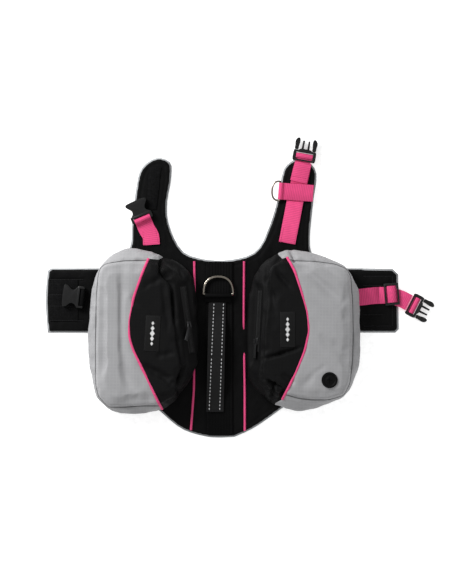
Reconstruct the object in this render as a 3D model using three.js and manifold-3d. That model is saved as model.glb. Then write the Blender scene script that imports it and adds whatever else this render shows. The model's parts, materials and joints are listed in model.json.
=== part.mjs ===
// A dog harness vest with two saddle bags, laid flat on its lining with the straps open.
// Millimetres. The origin is on the underside, on the spine line; +Y runs to the neck, +Z up.
import * as THREE from 'three';
import { mergeVertices } from 'three/addons/utils/BufferGeometryUtils.js';
import Module from 'manifold-3d';

const wasm = await Module();
wasm.setup();

// Layers, from the underside up.
const GAP = 0.3; // between pieces that touch on the real vest
const LINING_T = 1.6;
const SHELL_T = 4;
const WEB_T = 1.6;
const PATCH_T = 0.8;
const SHELL_Z = LINING_T + GAP;
const SHELL_TOP = SHELL_Z + SHELL_T;
const WEB_Z = SHELL_TOP + GAP;
const WEB_TOP = WEB_Z + WEB_T;
const SECOND_Z = WEB_TOP + GAP;
const SECOND_TOP = SECOND_Z + WEB_T;

// The vest panel, with its hems, wings and neck straps.
const LINING_MARGIN = 2; // how far the lining shows past the shell
const HEM_Y = -131;
const NECKLINE_Y = 132;
const NECK_TOP_Y = 284;
const LEFT_WING_X = -260;
const RIGHT_WING_X = 268;
const WING_TOP_Y = 120;
const WING_BOTTOM_Y = 27;
const LEFT_FOLD_X = -200.5;
const RIGHT_FOLD_X = 214.5;
const NECK_FOLD_Y = 156.5;

// Webbing and its hardware.
const SPINE_W = 40;
const STRAP_W = 25;
const PIPING_W = 4.5;
const PIPING_T = 2;
const BAR_R = 2.2; // the bars that webbing turns round
const LOOP_IN = BAR_R + GAP;
const LOOP_OUT = LOOP_IN + WEB_T;
const CHEEK_W = 3.5; // side walls of buckles
const BUCKLE_W = STRAP_W + 1 + 2 * CHEEK_W;
const SOCKET_T = 8.4;
const SOCKET_L = 29;
const PLUG_T = 6.6;
const PRONG_L = 15;
const ARM_L = 18.5;
const ARM_T = 5;
const GLIDE_T = 3;
const GLIDE_L = 22;
const SOCKET_Z = WEB_Z + PATCH_T + GAP + SOCKET_T / 2;
const PLUG_Z = WEB_Z + WEB_T / 2;
const HINGE_BACK = 9; // from a plug's bar back to where its webbing bends

// Rings and handle.
const BACK_WIRE = 3.5;
const BACK_RING_W = SPINE_W + 1 + 2 * BACK_WIRE;
const BACK_RING_L = 32;
const CHEST_WIRE = 3;
const CHEST_RING_W = STRAP_W + 1 + 2 * CHEST_WIRE;
const CHEST_RING_L = 16;
const KEEPER_Y = 238;
const HANDLE_W = 26;
const HANDLE_RISE = 10.5;
const HANDLE_TOP_Y = 70.5;
const HANDLE_BOTTOM_Y = -94;
const HANDLE_SEWN = 23;
const HANDLE_LEAN = 1.2; // degrees

// Saddle bags.
const BAG_BASE_Z = WEB_Z + PIPING_T + GAP;
const BAG_H = 41.5;
const BAG_TOP = BAG_BASE_Z + BAG_H;
const BAG_ROUND = 12;
const BAG_WALL = 2;
const BAG_PIPING_W = 4;
const ZIP_W = 12;
const ZIP_T = 1.6;
const LABEL_T = 0.8;
const PORT_R = 12;
const PORT_T = 2.4;

const nylon = () => new THREE.MeshStandardMaterial({ color: 0x101012, roughness: 0.85, metalness: 0 });
const mesh = () => new THREE.MeshStandardMaterial({ color: 0x9a9c9e, roughness: 0.95, metalness: 0 });
const oxford = () => new THREE.MeshStandardMaterial({ color: 0xadadb1, roughness: 0.8, metalness: 0 });
const pink = () => new THREE.MeshStandardMaterial({ color: 0xff4f8e, roughness: 0.75, metalness: 0 });
const plastic = () => new THREE.MeshStandardMaterial({ color: 0x1a1a1d, roughness: 0.45, metalness: 0 });
const rubber = () => new THREE.MeshStandardMaterial({ color: 0x141414, roughness: 0.6, metalness: 0 });
const nickel = () => new THREE.MeshStandardMaterial({ color: 0xc8c8c8, roughness: 0.25, metalness: 1 });

const vest = new THREE.Group();

// A named piece, added to the vest or to a group that places it.
function piece(name, shape, material, parent = vest) {
  const geometry = shape.isBufferGeometry ? shape : geometryOf(shape);
  const object = new THREE.Mesh(geometry, material);
  object.name = name;
  parent.add(object);
  return object;
}

function solidOf(geometry) {
  const bare = geometry.clone();
  bare.deleteAttribute('normal');
  bare.deleteAttribute('uv');
  const merged = mergeVertices(bare, 1e-4);
  const vertProperties = merged.attributes.position.array;
  const triVerts = Uint32Array.from(merged.index.array);
  return new wasm.Manifold(new wasm.Mesh({ numProp: 3, vertProperties, triVerts }));
}

function geometryOf(solid) {
  const { vertProperties, triVerts } = solid.getMesh();
  const geometry = new THREE.BufferGeometry();
  geometry.setAttribute('position', new THREE.BufferAttribute(vertProperties, 3));
  geometry.setIndex(new THREE.BufferAttribute(triVerts, 1));
  return geometry;
}

// A closed outline: each run is straight ('line') or smooth ('curve') through its points.
function outline(start, ...runs) {
  const shape = new THREE.Shape();
  shape.moveTo(...start);
  for (const [kind, ...points] of runs) {
    if (kind === 'line') points.forEach((point) => shape.lineTo(...point));
    else shape.splineThru(points.map((point) => new THREE.Vector2(...point)));
  }
  return shape;
}

function rectangle(x0, y0, x1, y1) {
  return outline([x0, y0], ['line', [x1, y0], [x1, y1], [x0, y1]]);
}

// A band of even width along a smooth line.
function ribbon(points, width, steps = 10) {
  const route = points.map(([x, y]) => new THREE.Vector3(x, y, 0));
  const line = new THREE.CatmullRomCurve3(route, false, 'centripetal');
  const left = [];
  const right = [];
  for (let i = 0; i <= steps; i += 1) {
    const at = line.getPoint(i / steps);
    const along = line.getTangent(i / steps);
    const side = new THREE.Vector2(-along.y, along.x).multiplyScalar(width / 2);
    left.push(at.clone().add(side));
    right.unshift(at.clone().sub(side));
  }
  return new THREE.Shape([...left, ...right]);
}

// A flat layer of an outline, from z upward; grow moves its edge outward.
function slab(shape, z, thickness, grow = 0) {
  const edge = 0.2;
  const plain = { depth: thickness, bevelEnabled: false, curveSegments: 3 };
  const grown = {
    depth: thickness - 2 * edge, bevelThickness: edge, bevelSize: edge,
    bevelOffset: grow - edge, bevelSegments: 1, curveSegments: 3,
  };
  const geometry = new THREE.ExtrudeGeometry(shape, grow === 0 ? plain : grown);
  return solidOf(geometry.translate(0, 0, grow === 0 ? z : z + edge));
}

// A layer with rounded top and bottom edges; its widest outline is the shape less the inset.
function pillow(shape, z, height, round, inset, segments = 3, curveSegments = 3) {
  const geometry = new THREE.ExtrudeGeometry(shape, {
    depth: height - 2 * round, bevelThickness: round, bevelSize: round,
    bevelOffset: -round - inset, bevelSegments: segments, curveSegments,
  });
  return solidOf(geometry.translate(0, 0, z + round));
}

function box(x0, x1, y0, y1, z0, z1) {
  const geometry = new THREE.BoxGeometry(x1 - x0, y1 - y0, z1 - z0);
  return solidOf(geometry.translate((x0 + x1) / 2, (y0 + y1) / 2, (z0 + z1) / 2));
}

// A group whose X axis points along an angle in plan, for buckles and their webbing.
function place(x, y, z, degrees) {
  const group = new THREE.Group();
  group.position.set(x, y, z);
  group.rotation.z = THREE.MathUtils.degToRad(degrees);
  vest.add(group);
  return group;
}

function placed(solid, group) {
  group.updateMatrix();
  return solidOf(geometryOf(solid).applyMatrix4(group.matrix));
}

// ---- vest panel ----

function vestOutline() {
  const midWing = (WING_TOP_Y + WING_BOTTOM_Y) / 2;
  return outline(
    [LEFT_WING_X + 3, WING_BOTTOM_Y],
    ['curve', [LEFT_WING_X, midWing], [LEFT_WING_X + 3, WING_TOP_Y - 3]],
    ['line', [LEFT_WING_X + 7, WING_TOP_Y], [LEFT_FOLD_X - 1, WING_TOP_Y], [-172, WING_TOP_Y]],
    ['curve', [-145, 134], [-132, NECK_FOLD_Y], [-130, 188], [-124, 240], [-116, NECK_TOP_Y - 13],
      [-95, NECK_TOP_Y + 2], [-76, NECK_TOP_Y - 4], [-75, NECK_TOP_Y - 28], [-81, 218], [-77, 184],
      [-57, NECKLINE_Y + 14], [-19, NECKLINE_Y + 1], [19, NECKLINE_Y + 1], [56, NECKLINE_Y + 14],
      [76, 182], [89, 224], [98, NECK_TOP_Y - 15], [112, NECK_TOP_Y - 1]],
    ['curve', [130, NECK_TOP_Y - 2], [144, NECK_TOP_Y - 20], [139, 220], [134, NECK_FOLD_Y],
      [146, 134], [172, WING_TOP_Y]],
    ['line', [RIGHT_FOLD_X + 1, WING_TOP_Y], [RIGHT_WING_X - 8, WING_TOP_Y - 1],
      [RIGHT_WING_X - 1, WING_TOP_Y - 8], [RIGHT_WING_X, WING_BOTTOM_Y + 4],
      [RIGHT_WING_X - 4, WING_BOTTOM_Y], [RIGHT_FOLD_X + 1, WING_BOTTOM_Y], [180, WING_BOTTOM_Y]],
    ['curve', [130, -30], [108, -74], [89, HEM_Y + 41], [52, HEM_Y + 15], [22, HEM_Y + 1]],
    ['curve', [0, HEM_Y], [-22, HEM_Y + 2], [-56, HEM_Y + 13], [-88, HEM_Y + 39], [-108, -74],
      [-130, -30], [-175, WING_BOTTOM_Y]],
    ['line', [LEFT_FOLD_X - 1, WING_BOTTOM_Y]],
  );
}

// The panel folds at four lines, so each layer is cut there into back, neck straps and wings.
function addPanel() {
  const layers = [
    ['lining', slab(vestOutline(), 0, LINING_T, LINING_MARGIN), mesh],
    ['shell', slab(vestOutline(), SHELL_Z, SHELL_T), nylon],
  ];
  const far = 400;
  const cuts = {
    back: [LEFT_FOLD_X + GAP, RIGHT_FOLD_X - GAP, -far, NECK_FOLD_Y - GAP],
    left_neck: [-far, 0, NECK_FOLD_Y + GAP, far],
    right_neck: [0, far, NECK_FOLD_Y + GAP, far],
    left_wing: [-far, LEFT_FOLD_X - GAP, -far, NECK_FOLD_Y - GAP],
    right_wing: [RIGHT_FOLD_X + GAP, far, -far, NECK_FOLD_Y - GAP],
  };
  for (const [layer, whole, material] of layers) {
    for (const [part, [x0, x1, y0, y1]] of Object.entries(cuts)) {
      piece(`${part}_${layer}`, whole.intersect(box(x0, x1, y0, y1, -10, 20)), material());
    }
  }
}

function spinePiping(side) {
  const x = side * 37;
  const end = side < 0 ? -42.5 : 38;
  return ribbon([[x, NECKLINE_Y + 1], [x, 20], [side * 38, -60], [end, HEM_Y + 9]], PIPING_W);
}

function addSpine() {
  const half = SPINE_W / 2;
  const webbing = rectangle(-half, HEM_Y + 2.5, half, NECKLINE_Y);
  piece('spine_webbing', slab(webbing, WEB_Z, WEB_T), nylon());
  piece('back_piping_left', slab(spinePiping(-1), WEB_Z, PIPING_T), pink());
  piece('back_piping_right', slab(spinePiping(1), WEB_Z, PIPING_T), pink());
}

// ---- rings, handle ----

// A D-ring lying flat: its straight bar is centred on the origin along Y, its bow toward +X.
function dRing(width, length, wire) {
  const straight = wire / 2 + GAP + WEB_T + GAP; // clear of the webbing round the bar
  const bow = (w, r) => {
    const shape = new THREE.Shape();
    const tip = length - wire + r;
    shape.moveTo(-r, -w / 2);
    shape.lineTo(straight, -w / 2);
    shape.bezierCurveTo(straight + (tip - straight) * 0.7, -w / 2, tip, -w * 0.3, tip, 0);
    shape.bezierCurveTo(tip, w * 0.3, straight + (tip - straight) * 0.7, w / 2, straight, w / 2);
    shape.lineTo(-r, w / 2);
    return shape;
  };
  const ring = bow(width, wire / 2);
  ring.holes = [bow(width - 2 * wire, -wire / 2)];
  const edge = wire * 0.4;
  const geometry = new THREE.ExtrudeGeometry(ring, {
    depth: wire - 2 * edge, bevelThickness: edge, bevelSize: edge, bevelOffset: -edge,
    bevelSegments: 2, curveSegments: 8,
  });
  return solidOf(geometry.translate(0, 0, edge - wire / 2));
}

// Webbing turned once round a bar that lies along Y at the origin.
function loopRing(width, inner = LOOP_IN, outer = LOOP_OUT) {
  const shape = new THREE.Shape();
  shape.absarc(0, 0, outer, 0, 2 * Math.PI);
  const hole = new THREE.Path();
  hole.absarc(0, 0, inner, 0, 2 * Math.PI);
  shape.holes.push(hole);
  const geometry = new THREE.ExtrudeGeometry(shape, { depth: width, bevelEnabled: false, curveSegments: 8 });
  return solidOf(geometry.translate(0, 0, -width / 2).rotateX(Math.PI / 2));
}

function addBackRing() {
  const loopIn = BACK_WIRE / 2 + GAP;
  const loopOut = loopIn + WEB_T;
  const ringGroup = place(-2, HANDLE_TOP_Y + 10.5, SECOND_Z + loopOut, 90);
  const tail = box(-10, 0, -SPINE_W / 2, SPINE_W / 2, -loopOut, -loopOut + WEB_T);
  const cover = box(-10, -loopOut + 0.5, -SPINE_W / 2, SPINE_W / 2, -loopOut, -loopOut + 2 * WEB_T);
  piece('d_ring_tab', loopRing(SPINE_W, loopIn, loopOut).add(tail).add(cover), nylon(), ringGroup);
  piece('back_d_ring', dRing(BACK_RING_W, BACK_RING_L, BACK_WIRE), nickel(), ringGroup);
}

function addHandle() {
  const middle = (HANDLE_TOP_Y + HANDLE_BOTTOM_Y) / 2;
  const half = (HANDLE_TOP_Y - HANDLE_BOTTOM_Y) / 2;
  const group = place(-5, middle, 0, -HANDLE_LEAN);
  const end = HANDLE_W / 2;
  const free = half - HANDLE_SEWN;
  const top = SECOND_Z + WEB_T / 2;
  piece('handle_top_end', box(-end, end, free, half, SECOND_Z, SECOND_TOP), nylon(), group);
  piece('handle_bottom_end', box(-end, end, -half, -free, SECOND_Z, SECOND_TOP), nylon(), group);
  const reach = free - GAP;
  const arch = [[-reach, top], [-reach + 12, top + 2.5], [-reach + 30, top + HANDLE_RISE - 1],
    [0, top + HANDLE_RISE], [reach - 30, top + HANDLE_RISE - 1], [reach - 12, top + 2.5], [reach, top]];
  const strip = new THREE.ExtrudeGeometry(ribbon(arch, WEB_T, 24), { depth: HANDLE_W, bevelEnabled: false });
  strip.translate(0, 0, -HANDLE_W / 2).rotateX(Math.PI / 2).rotateZ(Math.PI / 2);
  const between = box(-end - 1, end + 1, -reach, reach, SECOND_Z - 0.1, 60);
  piece('handle_grip', solidOf(strip).intersect(between), nylon(), group);
}

// ---- buckles: the bar is at the origin along Y, the tip toward +X ----

function bar() {
  const geometry = new THREE.CylinderGeometry(BAR_R, BAR_R, BUCKLE_W - CHEEK_W, 16);
  return solidOf(geometry);
}

function socket() {
  const wide = BUCKLE_W / 2;
  const waist = 10.5;
  const shape = outline([-2.4, wide - 1], ['line', [-1, wide], [7.5, wide], [11, waist], [14.5, waist]],
    ['line', [17.5, wide - 1], [SOCKET_L, wide - 1.6], [SOCKET_L, -wide + 1.6], [17.5, -wide + 1]],
    ['line', [14.5, -waist], [11, -waist], [7.5, -wide], [-1, -wide], [-2.4, -wide + 1]]);
  const hollow = STRAP_W / 2 + 0.5;
  const window = LOOP_OUT + 0.6;
  return pillow(shape, -SOCKET_T / 2, SOCKET_T, 1.2, 0, 2)
    .subtract(box(-20, window, -hollow, hollow, -20, 20))
    .subtract(box(window + 3.4, SOCKET_L + 10, -hollow, hollow, -2.6, 2.6))
    .add(bar());
}

function plugFrame() {
  const wide = BUCKLE_W / 2;
  const half = PLUG_T / 2;
  const inside = STRAP_W / 2 + 0.5;
  const back = -HINGE_BACK + 1;
  const prong = (y) => box(7, 8 + PRONG_L, y - 1.25, y + 1.25, -1.5, 1.5);
  return pillow(rectangle(back, -wide, 8.3, wide), -half, PLUG_T, 0.9, 0, 2)
    .subtract(box(-HINGE_BACK + 3.6, LOOP_OUT + 0.8, -inside, inside, -20, 20))
    .subtract(box(-20, 0, -inside, inside, -20, WEB_T / 2 + GAP))
    .add(bar())
    .add(prong(4))
    .add(prong(-4));
}

function plugArm(side) {
  const tip = 8.6 + ARM_L;
  const points = [[8.6, 12.2], [tip - 6, 11.2], [tip, 9.8], [tip, 12.6], [tip - 4.5, 16.2], [tip - 8, 14.6],
    [14, 16.2], [8.6, 16.2]].map(([x, y]) => [x, side * y]);
  if (side < 0) points.reverse();
  const [first, ...rest] = points;
  return pillow(outline(first, ['line', ...rest]), -ARM_T / 2, ARM_T, 0.5, 0, 1);
}

function triGlide() {
  const half = GLIDE_L / 2;
  const inside = STRAP_W / 2 + 0.6;
  const frame = pillow(rectangle(-half, -BUCKLE_W / 2, half, BUCKLE_W / 2), -GLIDE_T / 2, GLIDE_T, 0.7, 0, 2);
  const slot = (side) => box(side < 0 ? 2.2 - half * 0.98 : 2.2, side < 0 ? -2.2 : half * 0.98 - 2.2,
    -inside, inside, -9, 9);
  return frame.subtract(slot(-1)).subtract(slot(1));
}

// Webbing that rises through one slot of the tri-glide and goes down through the other.
function glideHump() {
  const low = -GLIDE_T / 2 + WEB_T / 2;
  const hump = ribbon([[-6.3, low], [-4.6, 1.8], [0, 3.6], [4.6, 1.8], [6.3, low]], WEB_T, 12);
  const geometry = new THREE.ExtrudeGeometry(hump, { depth: STRAP_W, bevelEnabled: false });
  return solidOf(geometry.translate(0, 0, -STRAP_W / 2).rotateX(Math.PI / 2));
}

// The webbing inside a plug: it passes under the back wall and turns round the bar.
function plugLoop() {
  const tail = box(-HINGE_BACK + GAP, -LOOP_IN - 0.3, -STRAP_W / 2, STRAP_W / 2, -WEB_T / 2, WEB_T / 2);
  return loopRing(STRAP_W).add(tail);
}

function addPlug(name, group) {
  piece(`${name}_plug_loop`, plugLoop(), pink(), group);
  piece(`${name}_plug`, plugFrame(), plastic(), group);
  piece(`${name}_plug_arm_left`, plugArm(1), plastic(), group);
  piece(`${name}_plug_arm_right`, plugArm(-1), plastic(), group);
}

// A point on a placed group's own X axis, in plan.
function along(group, distance) {
  const angle = group.rotation.z;
  return [group.position.x + distance * Math.cos(angle), group.position.y + distance * Math.sin(angle)];
}

// ---- neck straps ----

function addLeftNeck() {
  const socketGroup = place(-115.9, 196, SOCKET_Z, 113);
  const patch = outline([-109, 210], ['line', [-95, 210], [-88, NECK_TOP_Y - 10], [-107, NECK_TOP_Y - 10]]);
  piece('left_neck_hook_patch', slab(patch, WEB_Z, PATCH_T), nylon());
  const start = NECK_FOLD_Y + 0.8;
  const route = [[-102.5, start], [-103.4, start + 13], along(socketGroup, -17), along(socketGroup, -9),
    along(socketGroup, 0)];
  const above = box(-300, 300, NECK_FOLD_Y + GAP, 400, -50, 60);
  const strap = slab(ribbon(route, STRAP_W, 12), WEB_Z, WEB_T).intersect(above);
  piece('left_neck_webbing', strap.add(placed(loopRing(STRAP_W), socketGroup)), pink());
  piece('left_neck_socket', socket(), plastic(), socketGroup);
}

function addRightNeck() {
  const plugGroup = place(127.5, NECK_TOP_Y + 6.5, PLUG_Z, 80);
  const start = [101.5, NECK_FOLD_Y + 3.5];
  const route = [start, [108, 193], [115.5, 232], along(plugGroup, -HINGE_BACK - 14),
    along(plugGroup, -HINGE_BACK)];
  const clip = box(0, 300, NECK_FOLD_Y + GAP, 400, -50, 60);
  const bend = placed(box(-400, -HINGE_BACK - GAP, -40, 40, -40, 40), plugGroup);
  const strap = slab(ribbon(route, STRAP_W, 14), WEB_Z, WEB_T);
  piece('right_neck_webbing', strap.intersect(clip).intersect(bend), pink());
  const hemY = KEEPER_Y + 0.61 * STRAP_W - 1.25; // just clear of the keeper band
  const fold = [[118.6, hemY], [122, hemY + 14], along(plugGroup, -HINGE_BACK - 2.2)];
  piece('right_neck_webbing_fold', slab(ribbon(fold, STRAP_W, 6), SECOND_Z, WEB_T), pink());
  addPlug('right_neck', plugGroup);
  addKeeper();
}

// The band across the neck webbing, whose end turns round the chest ring's bar.
function addKeeper() {
  const loopIn = CHEST_WIRE / 2 + GAP;
  const loopOut = loopIn + WEB_T;
  const ringZ = WEB_Z + loopOut;
  const ringGroup = place(92, KEEPER_Y, ringZ, 176);
  const reach = -49;
  const half = STRAP_W / 2;
  const band = box(reach, -loopIn, -half, half, SECOND_Z - ringZ, SECOND_TOP - ringZ);
  const farLeg = box(reach, reach + WEB_T + 2, -half, half, WEB_Z - ringZ, SECOND_TOP - ringZ);
  const nearLeg = box(-loopOut - 3, -loopIn, -half, half, WEB_Z - ringZ, SECOND_TOP - ringZ);
  const loop = loopRing(STRAP_W, loopIn, loopOut);
  piece('keeper_band', loop.add(band).add(farLeg).add(nearLeg), pink(), ringGroup);
  piece('chest_d_ring', dRing(CHEST_RING_W, CHEST_RING_L, CHEST_WIRE), nickel(), ringGroup);
}

// ---- wings ----

function addLeftWing() {
  const socketGroup = place(-206.3, 78, SOCKET_Z, 173);
  const patch = rectangle(LEFT_WING_X + 4, 43, LEFT_FOLD_X - 12.5, 105);
  piece('left_wing_hook_patch', slab(patch, WEB_Z, PATCH_T), nylon());
  const half = STRAP_W / 2;
  const foot = placed(box(-LOOP_OUT, LOOP_OUT, -half, half, WEB_Z - SOCKET_Z, -LOOP_OUT + 0.4), socketGroup);
  const loop = placed(loopRing(STRAP_W), socketGroup).add(foot);
  piece('left_wing_webbing', loop, pink());
  piece('left_wing_socket', socket(), plastic(), socketGroup);
}

function addRightWing() {
  const plugGroup = place(RIGHT_WING_X + 25.4, 65.8, PLUG_Z, -27);
  const glideGroup = place(RIGHT_WING_X - 9, 83, SECOND_Z + GLIDE_T / 2, 5);
  const route = [[RIGHT_FOLD_X - 4, 78], [RIGHT_WING_X - 32, 81], [RIGHT_WING_X - 10, 80.5],
    along(plugGroup, -HINGE_BACK - 12), along(plugGroup, -HINGE_BACK)];
  const clip = box(RIGHT_FOLD_X + GAP, 400, -50, 200, -50, 60);
  const bend = placed(box(-400, -HINGE_BACK - GAP, -60, 60, -40, 40), plugGroup);
  const strap = slab(ribbon(route, STRAP_W, 14), WEB_Z, WEB_T);
  piece('right_wing_webbing', strap.intersect(clip).intersect(bend), pink());
  piece('right_wing_tri_glide', triGlide(), plastic(), glideGroup);
  piece('right_wing_webbing_hump', glideHump(), pink(), glideGroup);
  addPlug('right_wing', plugGroup);
}

// ---- saddle bags ----

const leftBag = {
  name: 'left_bag',
  side: 1, // the spine lies toward +X
  silhouette: outline([-148, 151],
    ['curve', [-172, 135], [-187, 112], [-195, 66], [-198.5, 14], [-196, -30], [-184, -74]],
    ['curve', [-166, -91], [-132, -98], [-98, -94], [-64, -76], [-38, -40], [-29.5, 10], [-36, 66],
      [-54, 106]],
    ['curve', [-66, 124], [-90, 145], [-122, 153.5], [-148, 151]]),
  front: outline([-150, 131],
    ['curve', [-172, 127], [-180, 116], [-184, 80], [-185, 4], [-183, -56]],
    ['curve', [-174, -74], [-150, -85], [-112, -83], [-80, -78], [-62, -66]],
    ['line', [-58.5, -30], [-56.5, -16], [-73, 104]],
    ['curve', [-80, 116], [-90, 126], [-108, 131], [-150, 131]]),
  colourLine: [[-106, 136], [-116, 112], [-128, 78], [-135, 44], [-134.5, 18], [-128, -2], [-114, -30],
    [-86, -89]],
  gussetLine: [[-92, 180], [-81, -130]],
  ridge: [[-72, 104], [-55.5, -16]],
  slope: 42,
  zipAt: 22,
  zipFrom: 12,
  zipTo: 112,
  sliderAt: 70,
  pullTurn: 28,
  label: { x: -100, y: 24.5, width: 22, length: 53, turn: -3.5 },
};

const rightBag = {
  name: 'right_bag',
  side: -1,
  silhouette: outline([105, 152],
    ['curve', [143, 146], [183, 130], [201, 110], [211.5, 74], [213, 20], [211, -26], [195, -64], [185, -74]],
    ['curve', [163, -83], [123, -95], [92, -89], [63, -72], [48, -52], [45.5, -10], [47, 50],
      [57, 98], [66, 120]],
    ['curve', [76, 136], [88, 148], [105, 152]]),
  front: outline([110, 132],
    ['curve', [143, 132], [173, 128], [190, 122], [197, 100], [199, 30], [198, -16], [194, -50]],
    ['curve', [184, -66], [163, -75], [130, -75], [97, -68]],
    ['curve', [80, -62], [66, -46], [64.5, -16]],
    ['line', [70.5, 104]],
    ['curve', [74, 122], [88, 130], [110, 132]]),
  colourLine: [[101, 138], [112, 118], [122, 88], [131, 56], [133.5, 28], [127, -2], [112, -38], [94, -74]],
  gussetLine: [[94, 180], [88, -130]],
  ridge: [[70.5, 104], [64.5, -16]],
  slope: 60,
  zipAt: 19,
  zipFrom: 16,
  zipTo: 108,
  sliderAt: 92,
  pullTurn: 0,
  label: { x: 101.5, y: 30.5, width: 22, length: 52, turn: 0 },
};

// A group on the sloping spine side: X down the zip, Z out of the slope, origin on the ridge.
function slopeGroup(bag) {
  const [top, bottom] = bag.ridge.map(([x, y]) => new THREE.Vector3(x, y, BAG_TOP));
  const down = bottom.clone().sub(top).normalize();
  const up = new THREE.Vector3(0, 0, 1);
  const outward = new THREE.Vector3().crossVectors(up, down).multiplyScalar(bag.side);
  const angle = THREE.MathUtils.degToRad(bag.slope);
  const normal = outward.multiplyScalar(Math.sin(angle)).addScaledVector(up, Math.cos(angle));
  const across = new THREE.Vector3().crossVectors(normal, down);
  const group = new THREE.Group();
  group.quaternion.setFromRotationMatrix(new THREE.Matrix4().makeBasis(down, across, normal));
  group.position.copy(top);
  return group;
}

function bagHull(bag, group, inset, base, top) {
  const cut = placed(box(-400, 400, -400, 400, -inset, 400), group);
  return pillow(bag.silhouette, base, top - base, BAG_ROUND - inset, inset).subtract(cut);
}

// The two panels that a seam leaves, outer one first.
function panels(solid, side) {
  const [a, b] = solid.decompose().sort((p, q) => q.volume() - p.volume());
  const outward = side * (a.boundingBox().min[0] - b.boundingBox().min[0]);
  return outward < 0 ? [a, b] : [b, a];
}

function addBag(bag) {
  const group = slopeGroup(bag);
  const floor = slab(bag.silhouette, BAG_BASE_Z - 5, 10, -BAG_ROUND - BAG_WALL);
  const hollow = bagHull(bag, group, BAG_WALL, BAG_BASE_Z, BAG_TOP - BAG_WALL).add(floor);
  const wall = bagHull(bag, group, 0, BAG_BASE_Z, BAG_TOP).subtract(hollow);
  const zipY = bag.side * bag.zipAt;
  const zipHalf = ZIP_W / 2 + GAP;
  const zipSlot = box(bag.zipFrom - GAP, bag.zipTo + GAP, zipY - zipHalf, zipY + zipHalf, -20, 20);
  const zipHole = placed(zipSlot, group);
  const frontPrism = slab(bag.front, BAG_TOP - BAG_WALL - 6, 30);
  const frontHole = slab(bag.front, BAG_TOP - BAG_WALL - 6, 30, GAP);
  const pipingHole = slab(ribbon(bag.colourLine, BAG_PIPING_W + 2 * GAP, 16), 0, 90);
  const pipingPrism = slab(ribbon(bag.colourLine, BAG_PIPING_W, 16), BAG_TOP - 3, 4);
  const gussetCut = slab(ribbon(bag.gussetLine, GAP, 1), 0, 90);

  const [greyFront, blackFront] = panels(wall.intersect(frontPrism).subtract(pipingHole), bag.side);
  const gusset = wall.subtract(frontHole).subtract(zipHole).subtract(gussetCut);
  const [greyGusset, spineGusset] = panels(gusset, bag.side);
  const insideEdge = slab(bag.front, BAG_TOP - 6, 12, -GAP);
  piece(`${bag.name}_grey_front`, greyFront, oxford());
  piece(`${bag.name}_black_front`, blackFront, nylon());
  piece(`${bag.name}_piping`, pipingPrism.intersect(insideEdge), pink());
  piece(`${bag.name}_grey_gusset`, greyGusset, oxford());
  piece(`${bag.name}_spine_gusset`, spineGusset, nylon());
  addBagBack(bag);
  addZip(bag, group, zipY);
  addLabel(bag);
}

// The bag's back panel lies on the vest and leaves the piped seams free.
function addBagBack(bag) {
  const seams = [-1, 1].map((side) => slab(spinePiping(side), WEB_Z - 1, PIPING_T + 2, GAP + 0.2));
  const sheet = slab(bag.silhouette, WEB_Z, PIPING_T, -BAG_ROUND);
  const parts = sheet.subtract(seams[0]).subtract(seams[1]).decompose();
  const [largest] = parts.sort((a, b) => b.volume() - a.volume());
  piece(`${bag.name}_back`, largest, nylon());
}

function addZip(bag, group, zipY) {
  const half = ZIP_W / 2;
  vest.add(group);
  const tape = box(bag.zipFrom, bag.zipTo, zipY - half, zipY + half, -ZIP_T, 0);
  piece(`${bag.name}_zip_tape`, tape, nylon(), group);
  const slider = new THREE.Group();
  slider.position.set(bag.sliderAt, zipY, GAP);
  group.add(slider);
  const body = pillow(rectangle(-5, -3.5, 5, 3.5), 0, 2.2, 0.5, 0, 1);
  const bail = box(-3, 3, -0.9, 0.9, 2, 5.2).subtract(box(-1.8, 1.8, -3, 3, 1.2, 4.2));
  piece(`${bag.name}_zip_slider`, body.add(bail), plastic(), slider);
  const pullGroup = new THREE.Group();
  pullGroup.position.set(0, 0, 3.2);
  pullGroup.rotation.z = THREE.MathUtils.degToRad(-bag.pullTurn * bag.side);
  slider.add(pullGroup);
  const tab = pillow(rectangle(4.6, -3, 25, 3), -0.65, 1.3, 0.3, 0, 1);
  const eye = box(-0.55, 5.4, -3.5, 3.5, -0.55, 0.55).subtract(box(0.55, 4.2, -2.6, 2.6, -3, 3));
  piece(`${bag.name}_zip_pull`, tab.add(eye), nylon(), pullGroup);
}

function addLabel(bag) {
  const { x, y, width, length, turn } = bag.label;
  const group = place(x, y, BAG_TOP + GAP, turn);
  const shape = rectangle(-width / 2, -length / 2, width / 2, length / 2);
  piece(`${bag.name}_label`, slab(shape, 0, LABEL_T), nylon(), group);
}

// The slotted rubber port on the right bag, for a cable or a hose.
function addPort() {
  const group = place(164, -45, BAG_TOP + GAP, 0);
  const disc = pillow(new THREE.Shape().absarc(0, 0, PORT_R, 0, 2 * Math.PI), 0, PORT_T, 0.8, 0, 2, 14);
  const slit = box(-4.5, 4.5, -0.4, 0.4, 1, 5).add(box(-0.4, 0.4, -4.5, 4.5, 1, 5));
  piece('right_bag_port', disc.subtract(slit), rubber(), group);
}

addPanel();
addSpine();
addBackRing();
addHandle();
addLeftNeck();
addRightNeck();
addLeftWing();
addRightWing();
addBag(leftBag);
addBag(rightBag);
addPort();

export default vest;
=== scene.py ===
"""Dog harness vest with two saddle bags: the soft goods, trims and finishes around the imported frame."""

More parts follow.
